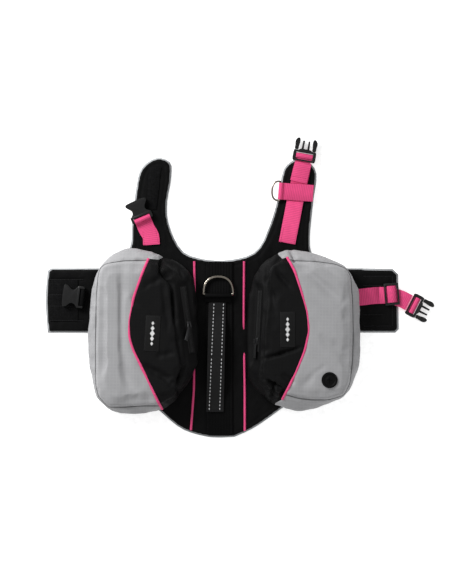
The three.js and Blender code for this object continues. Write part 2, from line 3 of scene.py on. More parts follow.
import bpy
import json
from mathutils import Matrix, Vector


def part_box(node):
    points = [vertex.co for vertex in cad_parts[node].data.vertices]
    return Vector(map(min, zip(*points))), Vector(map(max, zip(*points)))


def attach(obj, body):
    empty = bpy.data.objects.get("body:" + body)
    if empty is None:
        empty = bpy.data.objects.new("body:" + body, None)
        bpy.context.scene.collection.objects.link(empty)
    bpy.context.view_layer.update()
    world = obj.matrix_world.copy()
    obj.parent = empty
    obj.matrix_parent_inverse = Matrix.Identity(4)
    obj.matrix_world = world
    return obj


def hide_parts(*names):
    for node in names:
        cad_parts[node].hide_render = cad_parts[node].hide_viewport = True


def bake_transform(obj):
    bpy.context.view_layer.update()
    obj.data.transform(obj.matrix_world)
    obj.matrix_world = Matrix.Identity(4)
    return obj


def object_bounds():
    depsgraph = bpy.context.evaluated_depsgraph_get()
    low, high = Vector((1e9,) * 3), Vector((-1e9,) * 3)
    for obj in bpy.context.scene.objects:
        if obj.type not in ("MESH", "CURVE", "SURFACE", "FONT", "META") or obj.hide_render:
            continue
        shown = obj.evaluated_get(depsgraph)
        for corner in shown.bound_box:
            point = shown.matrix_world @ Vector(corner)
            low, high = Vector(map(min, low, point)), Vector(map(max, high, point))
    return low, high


bl_info = {
    "name": "Saddle bag harness vest",
    "version": (1, 0, 0),
    "blender": (4, 5, 0),
    "location": "View3D > Sidebar > Harness",
    "description": "Makes the vest panels, saddle bags, webbing, buckles and trims of a dog harness vest",
    "category": "Object",
}

import json
import math

import bpy
import numpy as np
from mathutils import Matrix, Vector, noise

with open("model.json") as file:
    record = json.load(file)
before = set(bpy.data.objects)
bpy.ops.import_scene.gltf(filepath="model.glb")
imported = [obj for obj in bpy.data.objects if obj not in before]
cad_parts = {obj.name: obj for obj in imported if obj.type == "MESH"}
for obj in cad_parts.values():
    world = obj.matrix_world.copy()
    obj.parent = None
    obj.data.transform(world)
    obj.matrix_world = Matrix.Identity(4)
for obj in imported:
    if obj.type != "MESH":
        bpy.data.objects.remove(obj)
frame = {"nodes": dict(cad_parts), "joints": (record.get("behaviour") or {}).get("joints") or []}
CAD_LOW, CAD_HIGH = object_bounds()

MM = 0.001
X_WAY = (1, 0, 0)
Y_WAY = (0, 1, 0)


def hinge(name):
    """Where a joint of the frame turns, in millimetres, and the level way square to its axis."""
    joint = next(j for j in frame["joints"] if j["name"] == name)
    place = Vector([round(c / MM, 2) for c in joint["pos_m"]])
    return place, Vector((-joint["axis"][1], joint["axis"][0], 0))


# Fold lines, where a neck strap or wing bends up from the back, at the top of the padded cloth.
NECK_X, NECK_FOLD, CLOTH_TOP = (round(c, 2) for c in hinge("right_neck_fold")[0])
LEFT_FOLD, WING_Y = (round(c, 2) for c in hinge("left_wing_fold")[0][:2])
RIGHT_FOLD = round(hinge("right_wing_fold")[0].x, 2)
FOLD_ROWS = (-6, -3, 0, 3, 6)  # rows of points across a fold

# Where the vest's cloth is divided into pieces, hidden under the bags and the spine.
LEFT_CUT = -150.0
RIGHT_CUT = 160.0

# The handle runs along the spine between its sewn ends, and is divided where it stands highest.
HANDLE_LOW = -94.0
HANDLE_SPLIT = -12.0
HANDLE_HIGH = 70.5
HANDLE_WIDTH = 26.0
HANDLE_MIDDLE_Z = 9.2

# The bags, in millimetres. Outlines go round from the spine end of the top seam. A crease is its start,
# end, width and height, and goes inwards where the height is below zero. The zip is how far down the
# slope it lies and where it starts and ends along the ridge. The label is its middle, width, length and
# turn, and the crumple is its middle and its spread.
BAGS = {
    "left": {
        "side": -1,
        "centre": (-118.0, 26.0),
        "widest": [(-82, 139), (-90, 145), (-106, 150), (-122, 153), (-136, 154), (-148, 151),
                   (-162, 144), (-172, 135), (-180, 126), (-187, 112), (-193, 92), (-196, 64), (-198, 34),
                   (-198, -6), (-197, -26), (-192, -46), (-187, -62), (-184, -74), (-176, -82),
                   (-166, -91), (-150, -96), (-132, -98), (-114, -97), (-98, -94), (-80, -89), (-64, -76),
                   (-50, -58), (-38, -40), (-32, -16), (-29.6, 14), (-31, 44), (-32, 74), (-34, 92),
                   (-38, 108), (-48, 123), (-60, 133), (-72, 138)],
        "seam": [(-92, 131), (-105, 133), (-142, 133), (-168, 129), (-177, 124), (-181, 114),
                 (-184, 80), (-185.5, 4), (-185, -52), (-181, -70), (-166, -86), (-142, -86), (-112, -84),
                 (-88, -83), (-66, -71), (-59, -52), (-55, -29), (-57, -16), (-62, 13), (-66, 44),
                 (-70, 85), (-74, 104), (-81, 122)],
        "colour": [(-106, 136), (-116, 112), (-128, 78), (-135, 44), (-134.5, 18), (-128, -2),
                   (-114, -30), (-86, -89)],
        "grey_ends": [(-80, 170), (-82, 140), (-91, 134.5), (-80, -90), (-79, -110)],
        "ridge": ((-72, 104), (-55.5, -16)),
        "slope": 42.0,
        "zip": (22.0, 12.0, 112.0),
        "label": (-100.0, 24.5, 22.0, 53.0, -3.5),
        "creases": [((-160, 108), (-158, -60), 9, 1.9), ((-172, 100), (-174, -50), 6, -1.4),
                    ((-146, 122), (-147, -10), 6, -2.0), ((-147, 20), (-136, -60), 7, -1.5),
                    ((-134, 96), (-138, 40), 5, 1.3), ((-118, 60), (-150, 100), 6, -1.0),
                    ((-86, 142), (-89, 112), 2.6, -3.4), ((-90, 118), (-70, 98), 2.6, -3.2),
                    ((-71, 104), (-66, 36), 2.6, -2.6), ((-84, 128), (-64, 116), 4, 2.0),
                    ((-61, 124), (-42, 76), 3, -2.2), ((-30, -8), (-54, -28), 3, -3.4),
                    ((-52, -24), (-62, -50), 3, -3.4), ((-60, -42), (-59, -76), 3, -3.0),
                    ((-118, -22), (-66, -48), 6, -1.8), ((-106, -44), (-68, -62), 5, 1.4),
                    ((-112, 92), (-80, 112), 5, -1.6), ((-104, 104), (-90, 60), 6, 1.2),
                    ((-84, 90), (-76, 30), 4, -1.4), ((-96, -10), (-66, -4), 5, -1.2),
                    ((-48, -34), (-46, -66), 5, 2.0), ((-150, -20), (-124, -66), 8, -1.2)],
        "grey_seam": [(-104, 134), (-142, 133), (-168, 129), (-177, 124), (-181, 114), (-184, 80),
                      (-185.5, 4), (-185, -52), (-181, -70), (-166, -86), (-142, -86), (-112, -84),
                      (-87, -84)],
        "crumple": (-70, -52, 22),
    },
    "right": {
        "side": 1,
        "centre": (132.0, 26.0),
        "widest": [(83, 144), (93, 149), (105, 152), (123, 150), (143, 146), (163, 139), (183, 130),
                   (191, 124), (201, 110), (210, 90), (212, 68), (213, 25), (213, -5), (211, -26),
                   (203, -48), (195, -64), (185, -74), (163, -83), (143, -91), (123, -95), (103, -92),
                   (81, -84), (66, -73), (53, -63), (43, -46), (40, -21), (39.5, 10), (39.5, 40), (42, 79),
                   (49, 108), (62, 130), (73, 138)],
        "seam": [(90, 134), (103, 134), (112, 133), (143, 132), (173, 128), (190, 121), (196, 110),
                 (199, 74), (200, 25), (199, -16), (195, -50), (186, -68), (163, -75), (137, -75),
                 (119, -73), (97, -67), (76, -62), (66, -50), (63, -36), (64, -16), (65, 25), (69, 74),
                 (71, 106), (77, 126)],
        "colour": [(101, 138), (112, 118), (122, 88), (131, 56), (133.5, 28), (127, -2), (112, -38),
                   (94, -74)],
        "grey_ends": [(88, 170), (88, 142), (94, 136), (84, -80), (76, -110)],
        "ridge": ((70.5, 104), (64.5, -16)),
        "slope": 60.0,
        "zip": (19.0, 16.0, 108.0),
        "label": (101.5, 30.5, 22.0, 52.0, 0.0),
        "creases": [((106, 150), (114, 130), 3, -2.6), ((114, 133), (188, 66), 7, -2.0),
                    ((130, 128), (192, 96), 7, 1.4), ((150, 132), (196, 84), 5, -1.0),
                    ((64, -14), (122, 4), 3, -2.8), ((66, -24), (114, -10), 5, 1.5),
                    ((95, 143), (70, 120), 2.8, -3.2), ((71, 124), (65, 84), 2.6, -2.8),
                    ((82, 132), (78, 96), 5, 1.6), ((84, 118), (106, 92), 4, -1.8),
                    ((76, 96), (84, 50), 5, -1.4), ((68, -44), (94, -60), 3, -3.6),
                    ((84, -44), (76, -74), 3, -3.4), ((66, -32), (86, -48), 3.5, 2.4),
                    ((92, -34), (112, -52), 5, -1.8), ((88, -76), (100, -56), 3, -2.6),
                    ((150, 26), (196, -18), 9, -1.2), ((136, -34), (186, -58), 7, 1.1),
                    ((148, 66), (170, 4), 8, 1.0), ((118, -60), (160, -20), 6, -0.9)],
        "grey_seam": [(102, 135), (112, 133), (143, 132), (173, 128), (190, 121), (196, 110), (199, 74),
                      (200, 25), (199, -16), (195, -50), (186, -68), (163, -75), (137, -75), (119, -73),
                      (95, -66)],
        "crumple": (76, -50, 22),
    },
}
PORT_PLACE = (164.0, -45.0)
PORT_RADIUS = 12.0
RIDGE_Z = 50.0  # height of the ridge where a bag's zipped slope starts
CROWN_Z = 51.2  # nothing on a bag's cloth stands higher
BAG_FOOT_Z = 8.3  # nor lower, where it rests on the vest


# ---------------------------------------------------------------- bench work


def clear_bench():
    """Object mode with nothing selected."""
    if bpy.context.mode != "OBJECT":
        bpy.ops.object.mode_set(mode="OBJECT")
    bpy.ops.object.select_all(action="DESELECT")


def hold(*pieces):
    """Only these pieces are selected, and the first is active."""
    clear_bench()
    for piece in pieces:
        piece.hide_viewport = False
        piece.select_set(True)
    bpy.context.view_layer.objects.active = pieces[0]


def joined(name, pieces):
    """One piece made of several."""
    hold(*pieces)
    if len(pieces) > 1:
        bpy.ops.object.join()
    pieces[0].name = name
    pieces[0].data.name = name
    return pieces[0]


def duplicate(piece, name):
    """A copy of a piece with its own mesh."""
    twin = piece.copy()
    twin.data = piece.data.copy()
    bpy.context.scene.collection.objects.link(twin)
    twin.name = name
    twin.data.name = name
    return twin


def pattern_from(name, *nodes):
    """A merged copy of CAD solids, used as the cutting pattern of a finished piece."""
    copies = []
    for node in nodes:
        twin = duplicate(frame["nodes"][node], name + "_cut")
        twin.parent = None
        twin.matrix_world = Matrix.Identity(4)
        for key in list(twin.keys()):
            del twin[key]
        twin.hide_render = False
        twin.data.materials.clear()
        copies.append(twin)
    piece = joined(name, copies)
    hold(piece)
    bpy.ops.object.mode_set(mode="EDIT")
    bpy.ops.mesh.select_all(action="SELECT")
    bpy.ops.mesh.remove_doubles(threshold=0.02 * MM)
    bpy.ops.object.mode_set(mode="OBJECT")
    return piece


def modified(piece, kind, **settings):
    """A modifier is added, set and applied."""
    hold(piece)
    modifier = piece.modifiers.new(kind.title(), kind)
    for key, value in settings.items():
        setattr(modifier, key, value)
    bpy.ops.object.modifier_apply(modifier=modifier.name)
    return piece


def repeated(piece, count, step):
    """The piece and its copies in a row, a step apart in millimetres."""
    return modified(piece, "ARRAY", fit_type="FIXED_COUNT", count=count, use_relative_offset=False,
                    use_constant_offset=True, constant_offset_displace=tuple(c * MM for c in step))


def eased_edges(piece, width, segments=2, degrees=None):
    """Bevelled edges, only where faces meet at more than the angle if one is given."""
    limit = {"limit_method": "ANGLE", "angle_limit": math.radians(degrees)} if degrees else {}
    return modified(piece, "BEVEL", width=width * MM, segments=segments, **limit)


def points_of(piece):
    """The piece's vertices in millimetres."""
    flat = np.empty(len(piece.data.vertices) * 3)
    piece.data.vertices.foreach_get("co", flat)
    return flat.reshape(-1, 3) / MM


def set_points(piece, points):
    """Moves the piece's vertices to these points in millimetres."""
    piece.data.vertices.foreach_set("co", (points * MM).ravel())
    piece.data.update()


def normals_of(piece):
    """The piece's vertex normals."""
    flat = np.empty(len(piece.data.vertices) * 3)
    piece.data.vertex_normals.foreach_get("vector", flat)
    return flat.reshape(-1, 3)


def cut(piece, point, normal, fill=True, keep="below"):
    """Cuts across the piece and keeps what is below the plane, above it, or both sides."""
    hold(piece)
    bpy.ops.object.mode_set(mode="EDIT")
    bpy.ops.mesh.select_all(action="SELECT")
    bpy.ops.mesh.bisect(plane_co=Vector(point) * MM, plane_no=normal, use_fill=fill and keep != "both",
                        clear_outer=keep == "below", clear_inner=keep == "above")
    bpy.ops.object.mode_set(mode="OBJECT")
    return piece


def outward(piece, merge=0.01):
    """Doubles are merged and every face looks outwards."""
    hold(piece)
    bpy.ops.object.mode_set(mode="EDIT")
    bpy.ops.mesh.select_all(action="SELECT")
    bpy.ops.mesh.remove_doubles(threshold=merge * MM)
    bpy.ops.mesh.normals_make_consistent(inside=False)
    bpy.ops.object.mode_set(mode="OBJECT")
    return piece


def smooth_shaded(piece, degrees=40):
    """Soft shading, with edges sharper than the angle kept crisp."""
    hold(piece)
    bpy.ops.object.shade_smooth_by_angle(angle=math.radians(degrees))
    return piece


def dressed(piece, finish, body=None, nodes=()):
    """Gives a piece its finish and the body it rides on, and hides the CAD nodes it stands for."""
    piece.data.materials.clear()
    piece.data.materials.append(bpy.data.materials[finish])
    if body:
        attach(piece, body)
    if nodes:
        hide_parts(*nodes)
    return piece


def bend(piece):
    """Fabric whose placement is baked into its mesh."""
    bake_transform(piece)


def fold_bend(piece):
    """Cloth or webbing at a neck strap or wing fold, with its placement baked into its mesh."""
    bend(piece)


def box_piece(name, centre, size, turn=0.0):
    """A block as a starting shape, turned about its own upright axis. Millimetres and degrees."""
    clear_bench()
    bpy.ops.mesh.primitive_cube_add(size=1, location=(0, 0, 0))
    piece = bpy.context.active_object
    piece.name = name
    piece.data.name = name
    scale = Matrix.Diagonal((*(Vector(size) * MM), 1))
    piece.data.transform(placed_at(centre, math.radians(turn)) @ scale)
    return piece


def placed_at(place, turn=0.0):
    """The matrix that moves to a place in millimetres, after a turn about the upright axis."""
    return Matrix.Translation(Vector(place) * MM) @ Matrix.Rotation(turn, 4, "Z")


def raised_outline(name, outline, low, tall):
    """A closed block raised from a flat outline, in millimetres."""
    data = bpy.data.meshes.new(name)
    data.from_pydata([(x * MM, y * MM, low * MM) for x, y in outline], [], [list(range(len(outline)))])
    piece = bpy.data.objects.new(name, data)
    bpy.context.scene.collection.objects.link(piece)
    hold(piece)
    bpy.ops.object.mode_set(mode="EDIT")
    bpy.ops.mesh.select_all(action="SELECT")
    bpy.ops.mesh.extrude_region_move(TRANSFORM_OT_translate={"value": (0, 0, tall * MM)})
    bpy.ops.mesh.select_all(action="SELECT")
    bpy.ops.mesh.normals_make_consistent(inside=False)
    bpy.ops.object.mode_set(mode="OBJECT")
    return piece


def line_between(points, step):
    """Points at an even step along a polyline, in millimetres."""
    points = np.array(points, float)
    run = np.concatenate([[0], np.cumsum(np.linalg.norm(np.diff(points, axis=0), axis=1))])
    count = max(2, int(round(run[-1] / step)) + 1)
    at = np.linspace(0, run[-1], count)
    return np.stack([np.interp(at, run, points[:, k]) for k in range(points.shape[1])], axis=1)


def eased(points, step=3.0, passes=14):
    """A smooth line through a few points, evenly spaced."""
    line = line_between(points, step)
    for _ in range(passes):
        line[1:-1] = (line[:-2] + 2 * line[1:-1] + line[2:]) / 4
    return line


def guide_curve(name, points):
    """A curve through points in millimetres."""
    data = bpy.data.curves.new(name, "CURVE")
    data.dimensions = "3D"
    data.twist_mode = "Z_UP"
    spline = data.splines.new("POLY")
    spline.points.add(len(points) - 1)
    for spot, point in zip(spline.points, points):
        spot.co = (*(Vector(point) * MM), 1)
    curve = bpy.data.objects.new(name, data)
    bpy.context.scene.collection.objects.link(curve)
    return curve


def cord_tube(name, points, radius):
    """A round cord along points, with closed ends."""
    curve = guide_curve(name, points)
    curve.data.bevel_depth = radius * MM
    curve.data.bevel_resolution = 3
    curve.data.use_fill_caps = True
    hold(curve)
    bpy.ops.object.convert(target="MESH")
    piece = bpy.context.active_object
    piece.name = name
    outward(piece)
    smooth_shaded(piece, 60)
    return piece


def stitch_row(name, points, finish, body, pitch=3.4, length=2.3, width=0.75, height=0.45):
    """A row of raised thread stitches: one stitch, repeated along a line and bent to follow it."""
    run = np.linalg.norm(np.diff(np.array(points, float), axis=0), axis=1).sum()
    clear_bench()
    bpy.ops.mesh.primitive_uv_sphere_add(segments=6, ring_count=4, radius=1)
    stitch = bpy.context.active_object
    stitch.name = name
    stitch.data.name = name
    size = Matrix.Diagonal((length / 2 * MM, width / 2 * MM, height * MM, 1))
    turn = Matrix.Rotation(math.radians(90), 4, "Y")
    stitch.data.transform(Matrix.Translation((pitch / 2 * MM, 0, 0)) @ size @ turn)
    guide = guide_curve(name + "_guide", points)
    repeated(stitch, max(1, int(run / pitch)), (pitch, 0, 0))
    modified(stitch, "CURVE", object=guide, deform_axis="POS_X")
    bpy.data.objects.remove(guide)
    hold(stitch)
    bpy.ops.object.shade_smooth()
    return dressed(stitch, finish, body)


def along_map(piece, points):
    """UVs in metres: U runs along a line, V across it, so that a weave follows the strap."""
    line = line_between(points, 1.5)[:, :2]
    steps = np.diff(line, axis=0)
    lengths = np.linalg.norm(steps, axis=1)
    starts = np.concatenate([[0], np.cumsum(lengths)])[:-1]
    ways = steps / lengths[:, None]
    co = points_of(piece)[:, :2]
    near = ((co[:, None] - line[None, :-1]) ** 2).sum(2).argmin(1)
    off = co - line[near]
    u = starts[near] + (off * ways[near]).sum(1)
    v = ways[near][:, 0] * off[:, 1] - ways[near][:, 1] * off[:, 0]
    layer = piece.data.uv_layers.get("Along") or piece.data.uv_layers.new(name="Along")
    loops = np.empty(len(piece.data.loops), int)
    piece.data.loops.foreach_get("vertex_index", loops)
    layer.data.foreach_set("uv", (np.stack([u[loops], v[loops]], axis=1) * MM).ravel().astype(np.float32))
    piece.data.uv_layers.active = layer
    return piece


def height_under(piece, x, y, top=90.0):
    """Height of a piece's upper surface at a place, in millimetres."""
    hit, spot, _, _ = piece.ray_cast(Vector((x, y, top)) * MM, Vector((0, 0, -1)))
    return spot.z / MM if hit else None


def distance_to_line(points, start, end):
    """Distance in plan from points to a straight line piece, and how far along it is, from 0 to 1."""
    start, end = np.array(start, float), np.array(end, float)
    way = end - start
    share = np.clip(((points[:, :2] - start) @ way) / (way @ way), 0, 1)
    return np.linalg.norm(points[:, :2] - (start + share[:, None] * way), axis=1), share


def distance_to_outline(points, outline, closed=True):
    """Distance in plan from points to an outline."""
    best = np.full(len(points), 1e9)
    pairs = zip(outline, outline[1:] + outline[:1]) if closed else zip(outline, outline[1:])
    for start, end in pairs:
        best = np.minimum(best, distance_to_line(points, start, end)[0])
    return best


def grain(points, scale, seed=0.0):
    """Soft noise at each point, about -1 to 1. Scale is the size of its lumps in millimetres."""
    return np.array([noise.noise(Vector((p[0] / scale[0] + seed, p[1] / scale[1] - seed, p[2] / scale[2])))
                     for p in points])


# ---------------------------------------------------------------- finishes


def node(tree, kind, inputs=None, **settings):
    """A shader node with its settings and unlinked inputs."""
    made = tree.nodes.new(kind)
    for key, value in settings.items():
        setattr(made, key, value)
    for key, value in (inputs or {}).items():
        made.inputs[key].default_value = value
    return made


def new_finish(name, rough, metallic=0.0, sheen=0.0, specular=0.5):
    """A material with its plain surface numbers set on the shader."""
    finish = bpy.data.materials.new(name)
    finish.use_nodes = True
    shader = finish.node_tree.nodes["Principled BSDF"]
    shader.inputs["Roughness"].default_value = rough
    shader.inputs["Metallic"].default_value = metallic
    shader.inputs["Sheen Weight"].default_value = sheen
    shader.inputs["Sheen Roughness"].default_value = 0.5
    shader.inputs["Specular IOR Level"].default_value = specular
    return finish.node_tree, shader


def tint(colour, share):
    """A lighter or darker version of a colour."""
    return (*[min(1.0, c * share) for c in colour[:3]], 1.0)


def mottled(tree, shader, coords, colour, low, high, scale, detail=4.0):
    """Uneven dye or moulding colour over the surface. Gives the colour's output."""
    cloud = node(tree, "ShaderNodeTexNoise", {"Scale": scale, "Detail": detail, "Roughness": 0.6})
    ramp = node(tree, "ShaderNodeValToRGB")
    ramp.color_ramp.elements[0].position = 0.3
    ramp.color_ramp.elements[1].position = 0.7
    ramp.color_ramp.elements[0].color = tint(colour, low)
    ramp.color_ramp.elements[1].color = tint(colour, high)
    tree.links.new(coords, cloud.inputs["Vector"])
    tree.links.new(cloud.outputs["Fac"], ramp.inputs["Fac"])
    tree.links.new(ramp.outputs["Color"], shader.inputs["Base Color"])
    return ramp.outputs["Color"]


def painted_hollow_shade(tree, shader, colour, height, depth):
    """Painted shade in the hollows: the colour goes darker where the weave or grain is low."""
    gap = node(tree, "ShaderNodeMapRange", {"To Min": 1.0 - depth, "To Max": 1.0})
    mix = node(tree, "ShaderNodeVectorMath", operation="SCALE")
    tree.links.new(height, gap.inputs["Value"])
    tree.links.new(colour, mix.inputs[0])
    tree.links.new(gap.outputs["Result"], mix.inputs["Scale"])
    tree.links.new(mix.outputs["Vector"], shader.inputs["Base Color"])


def relief(tree, shader, height, strength, distance):
    """Bump from a height, with its real depth in millimetres."""
    bump = node(tree, "ShaderNodeBump", {"Strength": strength, "Distance": distance * MM})
    tree.links.new(height, bump.inputs["Height"])
    tree.links.new(bump.outputs["Normal"], shader.inputs["Normal"])


def varied_rough(tree, shader, coords, scale, low, high):
    """Roughness that changes a little from place to place."""
    cloud = node(tree, "ShaderNodeTexNoise", {"Scale": scale, "Detail": 3.0})
    span = node(tree, "ShaderNodeMapRange", {"To Min": low, "To Max": high})
    tree.links.new(coords, cloud.inputs["Vector"])
    tree.links.new(cloud.outputs["Fac"], span.inputs["Value"])
    tree.links.new(span.outputs["Result"], shader.inputs["Roughness"])


def bands(tree, coords, direction, period, distortion=0.0):
    """Evenly spaced threads or ribs, one for each period in millimetres."""
    wave = node(tree, "ShaderNodeTexWave", {"Scale": math.tau / 20 / (period * MM), "Distortion": distortion,
                                            "Detail": 1.0, "Detail Scale": 2.0}, bands_direction=direction)
    tree.links.new(coords, wave.inputs["Vector"])
    return wave.outputs["Fac"]


def combined(tree, first, second, operation="MULTIPLY"):
    """Two heights in one."""
    both = node(tree, "ShaderNodeMath", operation=operation)
    tree.links.new(first, both.inputs[0])
    tree.links.new(second, both.inputs[1])
    return both.outputs["Value"]


def woven_cloth(name, colour, thread, rough=0.8, sheen=0.25, turn=0.0, grid=0.0, depth=0.35, mottle=0.12,
                shine=0.12):
    """Plain-woven cloth with warp and weft, uneven dye, painted shade between the threads and a soft sheen,
    with a ripstop grid if asked.
    """
    tree, shader = new_finish(name, rough, sheen=sheen, specular=shine)
    place = node(tree, "ShaderNodeTexCoord")
    mapping = node(tree, "ShaderNodeMapping", {"Rotation": (0.0, 0.0, math.radians(turn))})
    tree.links.new(place.outputs["Object"], mapping.inputs["Vector"])
    coords = mapping.outputs["Vector"]
    weave = combined(tree, bands(tree, coords, "X", thread), bands(tree, coords, "Y", thread))
    if grid:
        ribs = combined(tree, bands(tree, coords, "X", grid), bands(tree, coords, "Y", grid), "MAXIMUM")
        sharp = node(tree, "ShaderNodeMath", {1: 16.0}, operation="POWER")
        raised = node(tree, "ShaderNodeMath", {1: 0.6}, operation="MULTIPLY")
        tree.links.new(ribs, sharp.inputs[0])
        tree.links.new(sharp.outputs["Value"], raised.inputs[0])
        weave = combined(tree, weave, raised.outputs["Value"], "ADD")
    colour_out = mottled(tree, shader, coords, colour, 1 - mottle, 1 + mottle, 45.0)
    painted_hollow_shade(tree, shader, colour_out, weave, depth)
    varied_rough(tree, shader, coords, 60.0, rough - 0.07, min(1.0, rough + 0.08))
    relief(tree, shader, weave, 0.7, 0.12)


def webbing_cloth(name, colour, rib, rough=0.7, sheen=0.05, shine=0.18, lengthwise=False, depth=0.4,
                  mottle=0.1):
    """Tape woven in ribs, which follow the strap by its own map, with painted shade between the ribs."""
    tree, shader = new_finish(name, rough, sheen=sheen, specular=shine)
    place = node(tree, "ShaderNodeTexCoord")
    coords = place.outputs["UV"]
    main, cross = ("Y", "X") if lengthwise else ("X", "Y")
    ribs = bands(tree, coords, main, rib, 0.6)
    threads = bands(tree, coords, cross, rib * 0.55)
    weave = combined(tree, ribs, threads, "ADD")
    half = node(tree, "ShaderNodeMath", {1: 0.5}, operation="MULTIPLY")
    tree.links.new(weave, half.inputs[0])
    colour_out = mottled(tree, shader, place.outputs["Object"], colour, 1 - mottle, 1 + mottle, 70.0)
    painted_hollow_shade(tree, shader, colour_out, half.outputs["Value"], depth)
    varied_rough(tree, shader, place.outputs["Object"], 90.0, rough - 0.08, rough + 0.1)
    relief(tree, shader, half.outputs["Value"], 0.8, 0.25)


def moulded(name, colour, rough=0.4, grain_size=1600.0, wear=1.6, specular=0.45, metallic=0.0, bump=0.02):
    """Moulded plastic, rubber or plated metal, with fine grain and edges worn a little lighter."""
    tree, shader = new_finish(name, rough, metallic=metallic, specular=specular)
    place = node(tree, "ShaderNodeTexCoord").outputs["Object"]
    base = mottled(tree, shader, place, colour, 0.88, 1.12, 120.0)
    shape = node(tree, "ShaderNodeNewGeometry")
    edge = node(tree, "ShaderNodeMapRange",
                {"From Min": 0.52, "From Max": 0.62, "To Min": 1.0, "To Max": wear})
    worn = node(tree, "ShaderNodeVectorMath", operation="SCALE")
    tree.links.new(shape.outputs["Pointiness"], edge.inputs["Value"])
    tree.links.new(base, worn.inputs[0])
    tree.links.new(edge.outputs["Result"], worn.inputs["Scale"])
    tree.links.new(worn.outputs["Vector"], shader.inputs["Base Color"])
    fine = node(tree, "ShaderNodeTexNoise", {"Scale": grain_size, "Detail": 2.0})
    tree.links.new(place, fine.inputs["Vector"])
    varied_rough(tree, shader, place, 200.0, max(0.05, rough - 0.07), rough + 0.08)
    relief(tree, shader, fine.outputs["Fac"], 0.4, bump)


def hook_cloth(name, colour):
    """Hook tape: rows of tiny stiff hooks, matt, with lint caught in them and painted shade in the pits
    between them.
    """
    tree, shader = new_finish(name, 0.95, sheen=0.03, specular=0.08)
    place = node(tree, "ShaderNodeTexCoord").outputs["Object"]
    hooks = node(tree, "ShaderNodeTexVoronoi", {"Scale": 420.0, "Randomness": 0.35})
    tree.links.new(place, hooks.inputs["Vector"])
    base = mottled(tree, shader, place, colour, 0.7, 1.5, 160.0)
    painted_hollow_shade(tree, shader, base, hooks.outputs["Distance"], 0.8)
    relief(tree, shader, hooks.outputs["Distance"], 0.9, 0.6)


def spacer_mesh(name, colour):
    """Spacer mesh lining: soft grey knit with rows of small round holes, darkened with painted shade."""
    tree, shader = new_finish(name, 0.9, sheen=0.3, specular=0.2)
    place = node(tree, "ShaderNodeTexCoord").outputs["Object"]
    holes = node(tree, "ShaderNodeTexVoronoi", {"Scale": 320.0, "Randomness": 0.0})
    edge = node(tree, "ShaderNodeMapRange", {"From Min": 0.25, "From Max": 0.42})
    tree.links.new(place, holes.inputs["Vector"])
    tree.links.new(holes.outputs["Distance"], edge.inputs["Value"])
    base = mottled(tree, shader, place, colour, 0.9, 1.1, 60.0)
    painted_hollow_shade(tree, shader, base, edge.outputs["Result"], 0.6)
    relief(tree, shader, edge.outputs["Result"], 0.8, 0.5)


# ---------------------------------------------------------------- vest


HEM = [(-88, -92), (-74, -106), (-56, -118), (-42, -124), (-22, -129), (0, -131), (18, -131), (30, -129),
       (38, -126), (51, -116), (71, -102), (89, -90)]
NECKLINE = [(-79, 283), (-75, 256), (-79, 231), (-81, 207), (-77, 184), (-70, 162), (-57, 146), (-41, 137),
            (-19, 133), (7, 132), (24, 133), (39, 137), (56, 146), (67, 162), (76, 181), (84, 205), (89, 224),
            (94, 252), (98, 269), (103, 278)]
LEFT_NECK_SIDE = [(-131, 155), (-130, 188), (-125, 233), (-121, 256), (-116, 271), (-106, 282), (-92, 286),
                  (-79, 283)]
RIGHT_NECK_SIDE = [(134, 151), (133, 171), (135, 192), (139, 220), (144, 264), (141, 271), (132, 279),
                   (112, 283), (103, 278)]
PANEL_NODES = ("back_{}", "left_neck_{}", "right_neck_{}", "left_wing_{}", "right_wing_{}")
HEM_WIDTH = 6.0
SEAM_GAP = 1.2  # panels that lie closer than this are sewn together


def one_cloth(name, part):
    """The back, wings and neck straps of one layer, sewn into a single closed cloth."""
    piece = pattern_from(name, *[n.format(part) for n in PANEL_NODES])
    points = points_of(piece)
    folds = ((1, NECK_FOLD), (0, LEFT_FOLD), (0, RIGHT_FOLD))
    for axis, fold in folds:
        points[np.abs(points[:, axis] - fold) < SEAM_GAP, axis] = fold
    set_points(piece, points)
    hold(piece)
    bpy.ops.object.mode_set(mode="EDIT")
    bpy.ops.mesh.select_all(action="SELECT")
    bpy.ops.mesh.remove_doubles(threshold=SEAM_GAP * MM)
    bpy.ops.mesh.select_all(action="DESELECT")
    bpy.ops.object.mode_set(mode="OBJECT")
    points = points_of(piece)
    for face in piece.data.polygons:
        spots = points[list(face.vertices)]
        face.select = any(np.all(np.abs(spots[:, axis] - fold) < 0.01) for axis, fold in folds)
    bpy.ops.object.mode_set(mode="EDIT")
    bpy.ops.mesh.select_mode(type="FACE")
    bpy.ops.mesh.delete(type="ONLY_FACE")
    bpy.ops.object.mode_set(mode="OBJECT")
    return piece


def shared_out(cloth, part, layer, finish):
    """Cuts one cloth into the four pieces that cross the folds."""
    plans = (
        ("left_wing_", "left_wing", ((LEFT_CUT, "below"),)),
        ("right_wing_", "right_wing", ((RIGHT_CUT, "above"),)),
        ("left_back_", "left_neck", ((LEFT_CUT, "above"), (0, "below"))),
        ("right_back_", "right_neck", ((RIGHT_CUT, "below"), (0, "above"))),
    )
    for start, body, cuts in plans:
        piece = duplicate(cloth, start + part)
        for x, keep in cuts:
            cut(piece, (x, 0, 0), X_WAY, keep=keep)
        dressed(piece, finish, nodes=[f"{body}_{layer}"])
        smooth_shaded(piece, 50)
        fold_bend(piece)
    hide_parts("back_" + layer)
    bpy.data.objects.remove(cloth)


